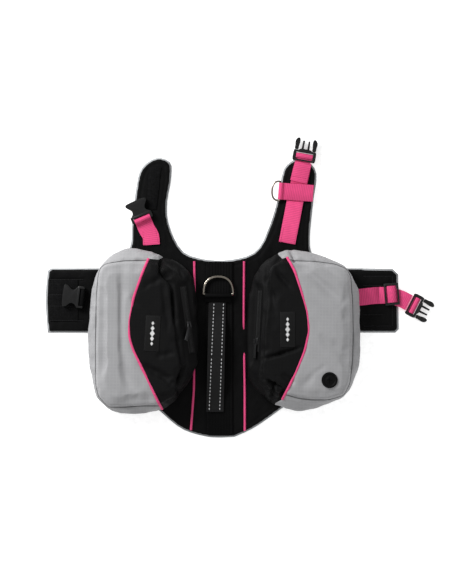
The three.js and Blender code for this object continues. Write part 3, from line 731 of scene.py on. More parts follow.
def make_vest_shell(sizes):
    """Padded black cloth: one sewn form with quilted channels, puckers and rounded edges."""
    cloth = one_cloth("vest_shell", "shell")
    modified(cloth, "REMESH", mode="VOXEL", voxel_size=2.0 * MM)
    modified(cloth, "SMOOTH", factor=0.5, iterations=4)
    points = points_of(cloth)
    top = points[:, 2] > 4.0
    lowered = np.zeros(len(points))
    channel = sizes.quilt_depth / MM
    for line in wing_channels():
        near, _ = distance_to_line(points, *line)
        lowered = np.maximum(lowered, channel * np.exp(-(near / 1.6) ** 2))
    for outline in (HEM, NECKLINE, LEFT_NECK_SIDE, RIGHT_NECK_SIDE):
        near = np.abs(distance_to_outline(points, outline, closed=False) - HEM_WIDTH)
        lowered = np.maximum(lowered, 0.8 * channel * np.exp(-(near / 1.5) ** 2))
    puckers = 0.8 * grain(points, (16, 30, 30)) + 0.45 * grain(points, (7, 9, 9), 3.1)
    points[top, 2] += (puckers - lowered - 0.3)[top]
    points[:, 2] = np.minimum(points[:, 2], CLOTH_TOP + 0.15)
    set_points(cloth, points)
    shared_out(cloth, "padded_cloth", "shell", "Black nylon")


def wing_channels():
    """Sewn channels on the wings, as straight lines in plan."""
    left = [((-256, y), (-204, y)) for y in (105, 82, 65, 43)]
    right = [((216, 110), (260, 110)), ((260, 110), (260, 35)), ((216, 35), (260, 35)),
             ((216, 96), (252, 96)), ((216, 52), (246, 52))]
    return left + right


def make_vest_lining():
    """Thin grey lining under the padded cloth, a little wider, so its edge shows all round."""
    cloth = one_cloth("vest_lining", "lining")
    for offset in FOLD_ROWS:
        cut(cloth, (0, NECK_FOLD + offset, 0), Y_WAY, keep="both")
        cut(cloth, (LEFT_FOLD + offset, 0, 0), X_WAY, keep="both")
        cut(cloth, (RIGHT_FOLD + offset, 0, 0), X_WAY, keep="both")
    shared_out(cloth, "spacer_mesh", "lining", "Lining mesh")


def make_vest_stitching():
    """Topstitching along the wing channels, laid on the hook tape of the left wing."""
    for index, line in enumerate(wing_channels()):
        on_left = line[0][0] < 0
        body = "left_wing" if on_left else "right_wing"
        run = [(*p, CLOTH_TOP + (1.15 if on_left else -0.5)) for p in line_between(line, 3)]
        stitch_row(f"wing_stitches_{index}", run, "Label thread", body, pitch=3.0,
                   length=2.5, width=0.8)


# ---------------------------------------------------------------- saddle bags


def reach_at(outline, centre, angles):
    """Distance from the centre to an outline in each direction."""
    line = line_between(outline + outline[:1], 1.0)[:-1] - np.array(centre)
    way = np.arctan2(line[:, 1], line[:, 0])
    order = np.argsort(way)
    return np.interp(angles, way[order], np.hypot(line[:, 0], line[:, 1])[order], period=math.tau)


def slope_frame(bag):
    """Where the zip's slope lies: its corner, the way down it, the way along it and its normal."""
    start, end = np.array(bag["ridge"], float)
    along = (end - start) / np.linalg.norm(end - start)
    out = np.array([-along[1], along[0]]) * (1 if bag["side"] < 0 else -1)
    if out[0] * bag["side"] > 0:
        out = -out
    angle = math.radians(bag["slope"])
    down = np.array([*(out * math.cos(angle)), -math.sin(angle)])
    normal = np.array([*(out * math.sin(angle)), math.cos(angle)])
    return np.array([*start, RIDGE_Z]), down, np.array([*along, 0.0]), normal


# The rings that a bag is lofted through, from its foot to its crown: how far from its widest outline
# towards its seam, how much larger, its height on the outer side, and its height beside the spine.
BAG_RINGS = (
    (0.0, -7.0, 9.0, 9.0),
    (0.0, -2.5, 11.5, 11.5),
    (0.0, -0.6, 17.0, 17.0),
    (0.0, 0.0, 24.0, 22.0),
    (0.55, 0.6, 33.0, 36.0),
    (0.9, 0.6, 40.5, 45.0),
    (1.0, 0.3, 44.5, 47.8),
    (1.0, -4.0, 46.6, 48.0),
    (1.0, -12.0, 47.8, 48.2),
    (1.0, -30.0, 48.4, 48.4),
)


def bag_form(side, bag, sizes):
    """The stuffed bag as one closed form: a loft from its base to its crown, inflated and creased."""
    centre = np.array(bag["centre"])
    clear_bench()
    bpy.ops.mesh.primitive_circle_add(vertices=144, radius=0.1, fill_type="NGON",
                                      location=(centre[0] * MM, centre[1] * MM, 0))
    piece = bpy.context.active_object
    piece.name = side + "_bag_form"
    hold(piece)
    bpy.ops.object.transform_apply(location=True)
    widest, seam = bag["widest"], bag["seam"]
    for index, (share, grow, height, spine_height) in enumerate(BAG_RINGS):
        if index:
            bpy.ops.object.mode_set(mode="EDIT")
            bpy.ops.mesh.extrude_region_move()
            bpy.ops.object.mode_set(mode="OBJECT")
        for vertex in piece.data.vertices:
            if not vertex.select:
                continue
            off = np.array(vertex.co[:2]) / MM - centre
            way = math.atan2(off[1], off[0])
            wide = float(reach_at(widest, centre, way))
            edge = min(float(reach_at(seam, centre, way)), wide - 1.0)
            reach = wide + (edge - wide) * share + grow
            to_spine = np.clip(-bag["side"] * math.cos(way) * 2.2 - 0.9, 0, 1)
            z = height + (spine_height - height) * to_spine
            spot = centre + reach * np.array([math.cos(way), math.sin(way)])
            vertex.co = (spot[0] * MM, spot[1] * MM, z * MM)
    outward(piece)
    modified(piece, "REMESH", mode="VOXEL", voxel_size=4.0 * MM)
    modified(piece, "SMOOTH", factor=0.5, iterations=2)
    inflate(piece, sizes)
    modified(piece, "SUBSURF", levels=1, render_levels=1)
    crease(piece, bag, sizes)
    return piece


SWELL_FRAMES = 20
SHARP_CREASE = 3.5  # narrower creases run on down the side walls
ZIP_SEAT = -0.9  # the cloth under the zip, below its slope


def inflate(piece, sizes):
    """Cloth under light pressure, so that the sides belly out and the corners pucker."""
    scene = bpy.context.scene
    before = points_of(piece)
    hold(piece)
    cloth = piece.modifiers.new("Cloth", "CLOTH")
    cloth.settings.quality = 4
    cloth.settings.mass = 0.3
    cloth.settings.tension_stiffness = 20
    cloth.settings.compression_stiffness = 20
    cloth.settings.bending_stiffness = 0.4
    cloth.settings.use_pressure = True
    cloth.settings.uniform_pressure_force = 4.0
    cloth.settings.effector_weights.gravity = 0.0
    cloth.point_cache.frame_start = 1
    cloth.point_cache.frame_end = SWELL_FRAMES
    for step in range(1, SWELL_FRAMES + 1):
        scene.frame_set(step)
    bpy.ops.object.modifier_apply(modifier=cloth.name)
    scene.frame_set(1)
    move = points_of(piece) - before
    size = np.linalg.norm(move, axis=1, keepdims=True)
    cap = sizes.swell / MM
    rising = np.clip((before[:, 2:3] - 10) / 12, 0, 1)
    set_points(piece, before + move * np.minimum(1, cap / np.maximum(size, 1e-6)) * rising)


def ridge(distance, width):
    """One at the middle of a crease or seam, and less away from it."""
    return np.exp(-(distance / width) ** 2)


def creases(points, bag, sizes):
    """How far the cloth stands out at each point, from its seams, creases and crumples."""
    upper = np.clip((points[:, 2] - 30) / 10, 0, 1)
    push = np.zeros(len(points))
    seam = distance_to_outline(points, bag["seam"])
    push -= upper * sizes.seam_depth / MM * ridge(seam, 2.2)
    push += upper * 0.7 * ridge(seam - 5.0, 2.5)
    push -= upper * 0.9 * ridge(distance_to_outline(points, bag["colour"], closed=False), 3.2)
    for start, end, width, height in bag["creases"]:
        near, share = distance_to_line(points, start, end)
        fade = np.sin(np.pi * np.clip(share, 0.02, 0.98)) ** 0.6
        reach = upper if width > SHARP_CREASE else np.clip((points[:, 2] - 14) / 8, 0, 1)
        push += sizes.crease_depth * reach * height * fade * ridge(near, width)
    x, y, spread = bag["crumple"]
    near = np.hypot(points[:, 0] - x, points[:, 1] - y)
    push += 2.6 * ridge(near, spread) * grain(points, (9, 6, 8), 5.0)
    push += (1 - upper) * 0.9 * grain(points, (18, 18, 9), 2.0)
    push += 0.9 * grain(points, (26, 34, 30), 7.0) * upper
    push += 0.3 * grain(points, (9, 12, 12), 11.0)
    thin_cloth = np.clip(-bag["side"] * (points[:, 0] - bag["label"][0]) / 14 + 1, 0, 1)
    ripples = grain(points, (14, 26, 20), 17.0)
    push += 1.1 * thin_cloth * (0.5 - np.abs(ripples) * 2)
    return push


def crease(piece, bag, sizes):
    """Seams, folds and crumples all over the bag, and the flat seat of its zip."""
    points, ways = points_of(piece), normals_of(piece)
    push = creases(points, bag, sizes)
    corner, down, along, normal = slope_frame(bag)
    local = points - corner
    below, beside, above = local @ down, local @ along, local @ normal
    offset, first, last = bag["zip"]
    over = np.maximum(np.abs(below - offset) - 8, 0) / 5
    ends = np.maximum(np.maximum(first - 4 - beside, beside - last - 14), 0) / 8
    seat = np.exp(-(over ** 2) - ends ** 2) * (np.abs(above) < 14)
    placed = points + ways * (push * (1 - seat))[:, None]
    above = (placed - corner) @ normal
    placed += normal[None] * ((ZIP_SEAT - above) * seat)[:, None]
    placed[:, 2] = np.clip(placed[:, 2], BAG_FOOT_Z, CROWN_Z)
    set_points(piece, placed)


def colour_side(name, bag):
    """A block that covers the outer, grey part of a bag."""
    line = [tuple(p) for p in eased(bag["colour"], 4.0, 6)]
    high, corner, top, bottom, low = bag["grey_ends"]
    far = 300 * bag["side"]
    outline = [high, corner, top, *line, bottom, low, (far, low[1] - 30), (far, high[1] + 30)]
    return raised_outline(name, outline, -10, 90)


def make_bag(side, sizes):
    """One saddle bag: the stuffed form cut along its piping into a grey side and a black side."""
    bag = BAGS[side]
    form = bag_form(side, bag, sizes)
    make_bag_piping(side, bag, form)
    make_bag_seam_shadow(side, bag, form)
    make_label(side, bag, form)
    make_zip(side, bag)
    if side == "right":
        make_port(form)
    cutter = colour_side(side + "_cutter", bag)
    grey = duplicate(form, side + "_bag_grey_body")
    black = duplicate(form, side + "_bag_black_body")
    modified(grey, "BOOLEAN", operation="INTERSECT", object=cutter, solver="EXACT")
    modified(black, "BOOLEAN", operation="DIFFERENCE", object=cutter, solver="EXACT")
    bpy.data.objects.remove(cutter)
    bpy.data.objects.remove(form)
    for piece, finish, slot, nodes in (
        (grey, "Grey oxford", "grey_oxford", ("grey_front", "grey_gusset")),
        (black, "Black oxford", "black_nylon", ("black_front", "spine_gusset", "back")),
    ):
        smooth_shaded(piece, 60)
        dressed(piece, finish, "vest", [f"{side}_bag_{n}" for n in nodes])


def laid_on(form, line, proud, highest=math.inf):
    """A line in plan laid on a bag's cloth, standing a little proud of it."""
    heights = [height_under(form, x, y) for x, y in line]
    return [(x, y, min(z + proud, highest)) for (x, y), z in zip(line, heights) if z]


def make_bag_piping(side, bag, form):
    """Pink piping sewn in along the colour seam, over the crown of the bag."""
    points = laid_on(form, eased(bag["colour"], 2.5, 8), 0.5, 49.6)
    piece = cord_tube(side + "_bag_pink_piping", points, 1.9)
    along_map(piece, points)
    dressed(piece, "Pink piping", "vest", [side + "_bag_piping"])


def make_bag_seam_shadow(side, bag, form):
    """A thin dark cord along the turned seam round the grey front: painted shadow of the seam, where the
    cloth is pulled in along it.
    """
    points = laid_on(form, eased(bag["grey_seam"], 2.5, 3), 0.05)
    seam = cord_tube(side + "_bag_seam_shadow_cord", points, 0.5)
    dressed(seam, "Seam shadow", "vest")


def make_label(side, bag, form):
    """Woven label with a plain motif of small diamonds, sewn on by its edge."""
    x, y, wide, long, turn = bag["label"]
    spots = [(x + i * wide / 2, y + j * long / 2) for i in (-1, 0, 1) for j in (-1, 0, 1)]
    z = max(height_under(form, *spot) for spot in spots)
    label = box_piece(side + "_bag_woven_label", (x, y, z + 0.45), (wide, long, 0.9), turn)
    eased_edges(label, 0.35, degrees=30)
    smooth_shaded(label)
    dressed(label, "Woven label", "vest", [side + "_bag_label"])
    marks = []
    place = placed_at((x, y, z + 1.0), math.radians(turn))
    stretch = Matrix.Diagonal((1.0, 1.35, 1.0, 1.0))
    for index, size in enumerate((4.2, 5.6, 7.0, 5.6, 4.2)):
        mark = box_piece("mark", (0, 0, 0), (size * 0.75, size * 0.75, 0.35), 45)
        eased_edges(mark, 0.15, degrees=30)
        mark.data.transform(place @ placed_at((0, (index - 2) * 7.6, 0)) @ stretch)
        marks.append(mark)
    motif = joined(side + "_bag_label_motif", marks)
    dressed(motif, "White thread", "vest")
    half_x, half_y = wide / 2 - 1.4, long / 2 - 1.4
    corners = [(i * half_x, j * half_y) for i, j in ((-1, -1), (1, -1), (1, 1), (-1, 1), (-1, -1))]
    spin = Matrix.Rotation(math.radians(turn), 2).transposed()
    run = [(x + c[0], y + c[1], z + 0.95) for c in (Vector(corner) @ spin for corner in corners)]
    stitch_row(side + "_bag_label_stitches", line_between(run, 1.5), "Label thread", "vest",
               pitch=2.2, length=1.6, width=0.5, height=0.25)


def make_port(form):
    """Rubber grommet for a cable: a raised rim, a dished middle and a cross-shaped slit."""
    x, y = PORT_PLACE
    z = height_under(form, x, y)
    clear_bench()
    bpy.ops.mesh.primitive_cylinder_add(vertices=48, radius=PORT_RADIUS * MM, depth=2.4 * MM,
                                        location=(x * MM, y * MM, (z + 0.7) * MM))
    port = bpy.context.active_object
    port.name = "right_bag_cable_port"
    hold(port)
    bpy.ops.object.transform_apply(location=True)
    for face in port.data.polygons:
        face.select = face.normal.z > 0.9
    bpy.ops.object.mode_set(mode="EDIT")
    bpy.ops.mesh.select_mode(type="FACE")
    bpy.ops.mesh.inset(thickness=3.0 * MM)
    bpy.ops.mesh.inset(thickness=0.8 * MM, depth=-0.9 * MM)
    bpy.ops.mesh.inset(thickness=3.4 * MM)
    bpy.ops.mesh.inset(thickness=0.5 * MM, depth=0.35 * MM)
    bpy.ops.object.mode_set(mode="OBJECT")
    eased_edges(port, 0.45, segments=3, degrees=35)
    slits = [box_piece("slit", (x, y, z + 1.6), size) for size in ((8.0, 1.0, 3.0), (1.0, 8.0, 3.0))]
    for slit in slits:
        modified(port, "BOOLEAN", operation="DIFFERENCE", object=slit, solver="EXACT")
        bpy.data.objects.remove(slit)
    smooth_shaded(port, 35)
    dressed(port, "Black rubber", "vest", ["right_bag_port"])


def make_zip(side, bag):
    """Coil zip on the bag's slope: a woven tape and two rows of teeth."""
    corner, down, along, normal = slope_frame(bag)
    offset, first, last = bag["zip"]
    place = Matrix.Identity(4)
    across = np.cross(along, normal)
    middle = corner + down * offset + along * (first + last) / 2
    for row in range(3):
        place[row][0], place[row][1], place[row][2] = along[row], -across[row], normal[row]
        place[row][3] = middle[row] * MM
    length = last - first
    tape = box_piece(side + "_bag_zip_woven_tape", (0, 0, -0.6), (length, 11.5, 0.9))
    eased_edges(tape, 0.3)
    along_map(tape, [(-length / 2, 0), (length / 2, 0)])
    tooth = box_piece(side + "_bag_zip_teeth", (-length / 2 + 1.2, 1.1, 0.25), (0.8, 2.3, 0.9))
    eased_edges(tooth, 0.2, segments=1)
    repeated(tooth, int((length - 2) / 1.5), (1.5, 0, 0))
    repeated(tooth, 2, (0.75, -2.2, 0))
    for piece in (tape, tooth):
        piece.data.transform(place)
        outward(piece, 0.001)
    smooth_shaded(tape)
    dressed(tape, "Zip tape", "vest", [side + "_bag_zip_tape"])
    dressed(tooth, "Zip teeth", "vest")


# ---------------------------------------------------------------- spine and handle


WEBBING_TOP = 7.85  # height of stitches on webbing that lies on the padded cloth


def ribbed_spine():
    """Wide spine webbing with ribs along its length."""
    piece = pattern_from("spine_ribbed_webbing", "spine_webbing")
    low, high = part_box("spine_webbing")
    ribs = 19
    step = (high.x - low.x) / MM / ribs
    for index in range(1, ribs):
        cut(piece, (low.x / MM + index * step, 0, 0), X_WAY, keep="both")
    points = points_of(piece)
    column = np.round((points[:, 0] - low.x / MM) / step).astype(int)
    points[(column % 2 == 1) & (points[:, 2] > 7), 2] -= 0.45
    set_points(piece, points)
    eased_edges(piece, 0.25, degrees=12)
    along_map(piece, [(0, -130), (0, 134)])
    smooth_shaded(piece, 50)
    dressed(piece, "Black webbing", "vest", ["spine_webbing"])


def make_spine():
    """Spine webbing, the two lines of vest piping and the rows of stitches that hold the webbing."""
    ribbed_spine()
    pipings = (
        ("left", [(-38, 132.5), (-37.5, 94), (-38, 20), (-38.5, -60), (-43, -121.5)], (-40, 93)),
        ("right", [(37, 132.5), (36.5, 44), (37, 20), (38, -60), (38, -122.5)], (-20, 44)),
    )
    for side, line, (bag_low, bag_high) in pipings:
        line = eased(line, 4.0, 10)
        pressed = [4.2 * np.clip(min(y - bag_low, bag_high - y) / 22, 0, 1) for _, y in line]
        points = [(x, y, 6.9 - depth) for (x, y), depth in zip(line, pressed)]
        cord = cord_tube(side + "_vest_pink_piping", points, 1.7)
        along_map(cord, points)
        dressed(cord, "Pink piping", "vest", ["back_piping_" + side])
    for side, x in (("left", -17.5), ("right", 17.5)):
        run = [(x, y, WEBBING_TOP) for y in np.arange(-126, 130, 3.0)]
        stitch_row(f"spine_stitches_{side}", run, "Black thread", "vest")


def handle_rise(y):
    """How far the handle stands off the spine at each place along it, in millimetres."""
    high, low = 48.0, -71.0
    share = np.clip((high - y) / (high - low), 0, 1)
    return 10.2 * np.clip(np.sin(np.pi * share), 0, 1) ** 0.7 * (1 - 0.06 * np.cos(4 * np.pi * share))


def handle_middle(y):
    """Where the middle of the handle runs, in millimetres."""
    return -5.0 + (y - HANDLE_SPLIT) * 0.0209


def handle_strip():
    """The grab handle whole: padded webbing lying over the spine."""
    length = HANDLE_HIGH - HANDLE_LOW
    piece = box_piece("handle_strip", (0, (HANDLE_LOW + HANDLE_HIGH) / 2, HANDLE_MIDDLE_Z),
                      (HANDLE_WIDTH, length, 2.0))
    for y in np.arange(HANDLE_LOW + 3.0, HANDLE_HIGH - 1.0, 3.0):
        cut(piece, (0, y, 0), Y_WAY, keep="both")
    for x in (-11.5, -9, -4.5, 0, 4.5, 9, 11.5):
        cut(piece, (x, 0, 0), X_WAY, keep="both")
    points = points_of(piece)
    side = np.abs(points[:, 0]) / (HANDLE_WIDTH / 2)
    points[:, 2] += 0.55 * (1 - side ** 4) * (points[:, 2] > HANDLE_MIDDLE_Z)
    points[:, 0] += handle_middle(points[:, 1])
    points[:, 2] += handle_rise(points[:, 1])
    set_points(piece, points)
    eased_edges(piece, 0.6, degrees=50)
    modified(piece, "SUBSURF", levels=1, render_levels=1)
    along_map(piece, [(handle_middle(-97), -97), (handle_middle(74), 74)])
    smooth_shaded(piece, 50)
    return piece


def make_handle():
    """Grab handle in two halves that lift from their sewn ends, with two rows of reflective dashes."""
    halves = (
        ("handle_top_half", "above", HANDLE_SPLIT, HANDLE_HIGH, (0, 50, 9), (0, 14, 9),
         ["handle_top_end", "handle_grip"]),
        ("handle_bottom_half", "below", HANDLE_LOW, HANDLE_SPLIT, (0, -74, 9), (0, -38, 9),
         ["handle_bottom_end"]),
    )
    strip = handle_strip()
    for name, keep, y_low, y_high, start, end, nodes in halves:
        piece = duplicate(strip, name)
        cut(piece, (0, HANDLE_SPLIT, 0), Y_WAY, keep=keep)
        dressed(piece, "Handle webbing", nodes=nodes)
        bend(piece)
        rows = []
        for x_top, x_low in ((-8.2, -15.6), (6.2, 0.2)):
            steps = line_between([(0, y_high - 0.6), (0, y_low + 0.4)], 2.0)[:, 1]
            lean = (x_top - x_low) / 166
            run = [(x_low + lean * (y - HANDLE_LOW), y, 10.75 + handle_rise(y)) for y in steps]
            rows.append(stitch_row(name + "_row", run, "Reflective thread", None, pitch=5.4,
                                   length=3.3, width=1.3, height=0.4))
        row = joined(name + "_reflective_dashes", rows)
        bend(row)
    bpy.data.objects.remove(strip)
    for index, y in enumerate((64.0, 50.0, -76.0, -90.0)):
        run = [(handle_middle(y) + x, y, 10.6 + handle_rise(y)) for x in np.arange(-10.5, 11, 1.5)]
        stitch_row(f"handle_bar_tack_{index}", run, "Black thread", "vest", pitch=2.0,
                   length=1.7)


def soft_copy(name, nodes, path, finish, body=None, edge=0.35, lengthen=None, rows=()):
    """Webbing or tape cut to its solid's pattern, with rounded edges and a weave that follows it."""
    piece = pattern_from(name, *nodes)
    if lengthen:
        points = points_of(piece)
        inner_end, shift = lengthen
        points[points[:, 0] < inner_end] += shift
        set_points(piece, points)
    for point, normal in rows:
        cut(piece, point, normal, keep="both")
    eased_edges(piece, edge, degrees=50)
    along_map(piece, path)
    smooth_shaded(piece, 50)
    dressed(piece, finish, body, nodes)
    return piece


def buckle_strap(strap, body, name, divide_at, divide_way):
    """Divides a strap in two: the strap piece, and an end piece with rows cut across it at the buckle's
    hinge.
    """
    end = duplicate(strap, name)
    buckle = body + "_buckle"
    place, way = hinge(buckle + "_swing")
    for offset in (-4, -2, 0, 2):
        cut(end, place + way * offset, way, keep="both")
    cut(strap, divide_at, divide_way)
    cut(end, divide_at, divide_way, keep="above")
    fold_bend(strap)
    bend(end)


def make_neck_straps():
    """Pink webbing on both neck straps, the keeper band and the black loop that holds the back ring."""
    rows = [((0, NECK_FOLD + offset, 0), Y_WAY) for offset in FOLD_ROWS]
    left = soft_copy("left_neck_pink_strap", ["left_neck_webbing"], [(-102, 138), (-106, 180), (-122, 215)],
                     "Pink webbing", rows=rows)
    fold_bend(left)
    path = [(100, 138), (106, 182), (113, 222), (121, 256), (128, 300)]
    strap = soft_copy("right_neck_pink_strap",
                      ["right_neck_webbing", "right_neck_webbing_fold", "right_neck_plug_loop"], path,
                      "Pink webbing", rows=rows)
    buckle_strap(strap, "right_neck", "right_neck_pink_strap_end", (0, 236, 0), Y_WAY)
    soft_copy("keeper_pink_band", ["keeper_band"], [(145, 233), (85, 242)], "Pink webbing",
              "right_neck", edge=0.4)
    soft_copy("back_ring_tab", ["d_ring_tab"], [(-2, 60), (-2, 90)], "Black webbing", "vest",
              edge=0.5)
    stitching = (
        ("left_neck", "_stitches", (-92, 160), (-97.5, 185), WEBBING_TOP),
        ("left_neck", "_stitches_outer", (-112.5, 157), (-116, 179), WEBBING_TOP),
        ("right_neck", "_stitches", (91.5, 160), (96.5, 184), WEBBING_TOP),
        ("right_neck", "_stitches_outer", (112, 158), (117, 181), WEBBING_TOP),
        ("right_neck", "_hem_stitches", (107.5, 261), (132.5, 256.5), WEBBING_TOP + 1.9),
    )
    for body, name, start, end, z in stitching:
        run = [(*p, z) for p in line_between([start, end], 2.0)]
        stitch_row(body + name, run, "Pink thread", body, pitch=2.6, length=1.9, width=0.6,
                   height=0.3)


def make_wing_straps():
    """Webbing on both wings: the right strap runs through the tri-glide to its plug."""
    soft_copy("left_wing_strap", ["left_wing_webbing"], [(-195, 74), (-240, 79)], "Black webbing",
              "left_wing")
    rows = [((RIGHT_FOLD + offset, 0, 0), X_WAY) for offset in FOLD_ROWS]
    path = [(203, 78), (259, 83), (292, 66)]
    strap = soft_copy("right_wing_pink_strap", ["right_wing_webbing", "right_wing_plug_loop"], path,
                      "Pink webbing", lengthen=(217.5, (-11, -1, 0)), rows=rows)
    buckle_strap(strap, "right_wing", "right_wing_pink_strap_end", (240, 0, 0), X_WAY)
    soft_copy("tri_glide_pink_hump", ["right_wing_webbing_hump"], path, "Pink webbing",
              "tri_glide")


def make_hook_patches():
    """Hook tape on the left neck strap and left wing."""
    for part, path in (("left_neck", [(-102, 200), (-97, 276)]), ("left_wing", [(-262, 74), (-200, 74)])):
        soft_copy(part + "_hook_tape", [part + "_hook_patch"], path, "Hook tape", part, edge=0.3)


# ---------------------------------------------------------------- hardware


# Buckle parts in plan, in millimetres from the bar that the webbing turns round. Each has its mirror
# image on the other side of the buckle.
PLUG_BAR_BEYOND = 9.0  # from the place where the webbing bends to the plug's bar
PLUG_MIDDLE_Z = 7.0
PLUG_NOSE = [(5.2, 15.5), (9.4, 8.6), (10.6, 7)]
PLUG_SIDE = [(-8.6, 12.6), (8.2, 12.6), (8.2, 16.9), (4, 17.4), (-6, 17.4), (-8.6, 16.4)]
PLUG_PRONG = [(9, 2.6), (23, 3.0), (23.6, 4.2), (23, 5.4), (9, 6.0)]
PLUG_ARM = [(8.7, 10.2), (13, 10.6), (20, 9.4), (25, 9.6), (27.2, 11.4), (26.4, 14.0), (23, 16.6),
            (19.4, 17.0), (15, 16.2), (8.7, 16.3)]
SOCKET_HALF = [(6.8, 15.2), (8.6, 14.2), (11.0, 11.0), (14.2, 9.7), (17.4, 10.4), (20.4, 13.0),
               (23.4, 15.8), (26.6, 17.0), (28.8, 15.4), (29.4, 8.0), (29.6, 0.0)]


def mirrored(half, side):
    """The half as it is, or its mirror image where side is -1."""
    return [(x, side * y) for x, y in half]


def hard_copy(name, cad, finish, body, edge=0.3, rounded=False):
    """A moulded part cut from its solid with its edges softened, or a wire part made rounder."""
    piece = pattern_from(name, cad)
    if rounded:
        modified(piece, "SUBSURF", levels=1, render_levels=1)
    else:
        eased_edges(piece, edge, degrees=38)
    smooth_shaded(piece, 42)
    return dressed(piece, finish, body, [cad])


def moulding(name, corners, thickness, edge=0.8, step=1.2, passes=3):
    """A flat moulded shape with eased corners and rounded edges, lying about its own middle height."""
    line = line_between(corners + corners[:1], step)[:-1]
    for _ in range(passes):
        line = (np.roll(line, 1, 0) + 2 * line + np.roll(line, -1, 0)) / 4
    piece = raised_outline(name, [tuple(p) for p in line], -thickness / 2, thickness)
    return eased_edges(piece, edge, segments=3, degrees=35)


def make_plug(body):
    """A buckle plug: its frame with a thick nose and two guide prongs, and a pair of leaf-shaped arms."""
    cad = body + "_plug"
    turning, way = hinge(body + "_buckle_swing")
    bar = turning + way * PLUG_BAR_BEYOND
    place = placed_at((bar.x, bar.y, PLUG_MIDDLE_Z), math.atan2(way.y, way.x))
    frame_copy = pattern_from(cad + "_moulding", cad)
    eased_edges(frame_copy, 0.3, degrees=38)
    nose = moulding("nose", mirrored(PLUG_NOSE, -1) + PLUG_NOSE[::-1], 6.4, passes=2)
    sides = [moulding("side", mirrored(PLUG_SIDE, side), 6.8) for side in (-1, 1)]
    prongs = [moulding("prong", mirrored(PLUG_PRONG, side), 3.4, 0.5, 0.8, 2) for side in (-1, 1)]
    for piece in (nose, *sides, *prongs):
        piece.data.transform(place)
    plug = joined(cad + "_moulding", [frame_copy, nose, *sides, *prongs])
    smooth_shaded(plug, 42)
    dressed(plug, "Black plastic", body + "_buckle", [cad])
    for side, arm in ((1, "arm_left"), (-1, "arm_right")):
        piece = moulding(f"{cad}_{arm}_moulding", mirrored(PLUG_ARM, side), 5.6, 1.0, 1.0)
        piece.data.transform(place)
        smooth_shaded(piece, 42)
        dressed(piece, "Black plastic", f"{body}_{arm}", [f"{cad}_{arm}"])


def make_socket(body):
    """A buckle socket: its bar end, and a waisted body that flares to an open mouth."""
    cad = body + "_socket"
    turning, way = hinge(body + "_buckle_swing")
    place = placed_at(turning, math.atan2(way.y, way.x))
    rear = pattern_from(cad + "_moulding", cad)
    cut(rear, turning + way * 8.0, way)
    eased_edges(rear, 0.3, degrees=38)
    shell = moulding("shell", SOCKET_HALF + mirrored(SOCKET_HALF[:-1], -1)[::-1], 8.2, 1.9, 1.0)
    mouth = box_piece("mouth", (25, 0, 0), (16, 24.5, 4.6))
    modified(shell, "BOOLEAN", operation="DIFFERENCE", object=mouth, solver="EXACT")
    bpy.data.objects.remove(mouth)
    shell.data.transform(place)
    piece = joined(cad + "_moulding", [rear, shell])
    smooth_shaded(piece, 42)
    dressed(piece, "Black plastic", body + "_buckle", [cad])


def make_buckles():
    """Side-release sockets, plugs with their springy arms, and the tri-glide."""
    hard_copy("right_wing_tri_glide_moulding", "right_wing_tri_glide", "Black plastic",
              "tri_glide")
    make_socket("left_neck")
    make_socket("left_wing")
    make_plug("right_neck")
    make_plug("right_wing")


def make_rings():
    """Nickel rings and the zip sliders with their pulls."""
    hard_copy("back_leash_ring", "back_d_ring", "Nickel", "back_ring", rounded=True)
    hard_copy("chest_ring_wire", "chest_d_ring", "Nickel", "chest_ring", rounded=True)
    for side in ("left", "right"):
        hard_copy(side + "_zip_slider_body", side + "_bag_zip_slider", "Zip metal",
                  side + "_zip_slider", edge=0.2)
        hard_copy(side + "_zip_pull_tab", side + "_bag_zip_pull", "Zip metal",
                  side + "_zip_pull", edge=0.25)


# ---------------------------------------------------------------- stage


def make_stage():
    """Pale floor, soft studio light and the camera straight above."""
    clear_bench()
    bpy.ops.mesh.primitive_plane_add(size=1, location=(0, 0, 0))
    floor = bpy.context.active_object
    floor.name = "studio_floor"
    floor.data.name = "studio_floor"
    floor.data.transform(Matrix.Translation((0, 0, CAD_LOW.z - 0.0005)) @ Matrix.Diagonal((8, 8, 1, 1)))
    glow = bpy.data.materials["Floor"].node_tree.nodes["Principled BSDF"]
    glow.inputs["Emission Color"].default_value = (1, 1, 1, 1)
    glow.inputs["Emission Strength"].default_value = 0.5
    floor.data.materials.append(bpy.data.materials["Floor"])
    lights = (
        ("key_light", (-1.3, 1.2, 1.15), 0.8, 50),
        ("fill_light", (1.2, -0.6, 1.6), 2.0, 8),
    )
    for name, spot, size, power in lights:
        bpy.ops.object.light_add(type="AREA", location=spot)
        light = bpy.context.active_object
        light.name = name
        light.data.size = size
        light.data.energy = power
        light.rotation_mode = "QUATERNION"
        light.rotation_quaternion = Vector(spot).to_track_quat("Z", "Y")
    world = bpy.data.worlds.new("Studio")
    bpy.context.scene.world = world
    world.use_nodes = True
    world.node_tree.nodes["Background"].inputs["Color"].default_value = (1, 1, 1, 1)
    world.node_tree.nodes["Background"].inputs["Strength"].default_value = 0.5
    bpy.context.scene.view_settings.view_transform = "Standard"
    view_height, lens, sensor = 0.876, 180.0, 36.0
    aim = Vector((0.00975, 0.08625, 0.02))
    distance = view_height * lens / sensor
    bpy.ops.object.camera_add(location=aim + Vector((0, 0, distance)), rotation=(0, 0, 0))
    camera = bpy.context.active_object
    camera.name = "camera"
    camera.data.lens = lens
    camera.data.clip_end = 50
    bpy.context.scene.camera = camera


# ---------------------------------------------------------------- settings, operators and panel


